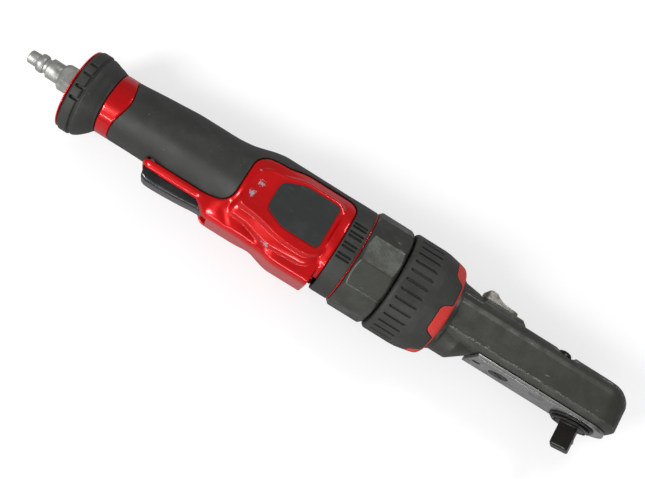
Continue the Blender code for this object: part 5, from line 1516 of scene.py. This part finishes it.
@dataclass
class Studio:
    """The camera, the pale floor and the soft lights. Lamps are of (name, place, size, power), in metres."""

    eye: Point = (141.4, -119.0, 457.4)
    back: Point = (-0.0593, -0.2499, 0.9664)
    roll: float = 31.95
    lean: float = -3.4
    focal_pixels: float = 945
    photo_width: float = 645
    sensor: float = 36
    floor_colour: Colour = (0.93, 0.935, 0.945)
    floor_gloss: Colour = (0.34, 0.34, 0.35)
    floor_drop: float = 0.0002
    sky: float = 0.58
    sky_gloss: float = 0.16
    veil: float = 0.5
    lamps: tuple[tuple[str, Point, Flat, float], ...] = (
        ("key", (-0.50, -0.55, 0.70), (0.30, 0.30), 6.4),
        ("fill", (0.20, 0.60, 0.85), (0.30, 0.30), 3.0),
        ("strip", (0.00, -0.95, 0.40), (1.20, 0.05), 3.8),
    )

    def build(self) -> None:
        """Sets up the view and the light."""
        self.place_camera()
        self.lay_floor()
        self.hang_lamps()
        self.set_sky()
        bpy.context.scene.view_settings.view_transform = "Standard"

    def place_camera(self) -> None:
        """Puts the camera at the photograph's viewpoint, turned as its frame is."""
        back = Vector(self.back).normalized()
        lean = radians(self.lean)
        along = ((Vector((1, 0, 0)) - sin(lean) * back) / cos(lean)).normalized()
        across = back.cross(along) * -1
        turn = radians(self.roll)
        right = cos(turn) * along - sin(turn) * across
        up = -(sin(turn) * along + cos(turn) * across)
        data = bpy.data.cameras.new("camera")
        data.lens = self.focal_pixels / self.photo_width * self.sensor
        data.sensor_width = self.sensor
        data.clip_start = 0.01
        camera = bpy.data.objects.new("camera", data)
        aim = Matrix((right, up, back)).transposed().to_4x4()
        camera.matrix_world = Matrix.Translation(metres(self.eye)) @ aim
        bpy.context.scene.collection.objects.link(camera)
        bpy.context.scene.camera = camera

    def lay_floor(self) -> None:
        """Lays a wide pale floor under the tool, half white of itself where the camera sees it."""
        bm = bmesh.new()
        bmesh.ops.create_grid(bm, x_segments=1, y_segments=1, size=3.0)
        bmesh.ops.translate(bm, vec=(0, 0, -self.floor_drop), verts=bm.verts)
        mesh = bpy.data.meshes.new("floor")
        bm.to_mesh(mesh)
        bm.free()
        shader = Shader("pale_floor")
        path = shader.node("LightPath").outputs
        shown = tuple(c * (1 - self.veil) for c in self.floor_colour)
        shade = shader.mix(path["Is Glossy Ray"], self.floor_colour, self.floor_gloss)
        shader.link(shader.mix(path["Is Camera Ray"], shade, shown), "Base Color")
        shader.link(shader.times(path["Is Camera Ray"], self.veil), "Emission Strength")
        shader.set(Roughness=0.7, Specular_IOR_Level=0.1, Emission_Color=(1.0, 1.0, 1.0))
        mesh.materials.append(shader.material)
        floor = bpy.data.objects.new("floor", mesh)
        bpy.context.scene.collection.objects.link(floor)

    def hang_lamps(self) -> None:
        """Hangs the soft lights, turned to the tool."""
        for name, place, size, power in self.lamps:
            data = bpy.data.lights.new(name, "AREA")
            data.shape = "RECTANGLE"
            data.size, data.size_y = size
            data.energy = power
            lamp = bpy.data.objects.new(name, data)
            lamp.location = place
            lamp.rotation_euler = (-Vector(place)).to_track_quat("-Z", "Y").to_euler()
            bpy.context.scene.collection.objects.link(lamp)

    def set_sky(self) -> None:
        """Sets the sky's light, dimmer in reflections and white where the camera sees it."""
        world = bpy.data.worlds.new("studio")
        bpy.context.scene.world = world
        world.use_nodes = True
        tree = world.node_tree
        back = tree.nodes["Background"]
        back.inputs["Color"].default_value = (1.0, 1.0, 1.0, 1.0)
        path = tree.nodes.new("ShaderNodeLightPath")
        gloss = tree.nodes.new("ShaderNodeMapRange")
        gloss.inputs["To Min"].default_value = self.sky
        gloss.inputs["To Max"].default_value = self.sky_gloss
        tree.links.new(path.outputs["Is Glossy Ray"], gloss.inputs["Value"])
        shown = tree.nodes.new("ShaderNodeMix")
        shown.inputs["B"].default_value = 1.0
        tree.links.new(path.outputs["Is Camera Ray"], shown.inputs["Factor"])
        tree.links.new(gloss.outputs["Result"], shown.inputs["A"])
        tree.links.new(shown.outputs["Result"], back.inputs["Strength"])


def main() -> None:
    """Builds the tool's looks in order, then the studio."""
    logging.basicConfig(level=logging.INFO, format="%(name)s %(message)s")
    looks = {look: finish.make() for look, finish in FINISHES.items()}
    dress_nodes(looks)
    shop = Workshop(looks)
    for assembly in (Inlet, Handle, Throttle, Clamp, Head, Drive):
        LOG.info("building %s", assembly.__name__)
        assembly(shop).build()
    Studio().build()


if __name__ == "__main__":
    main()
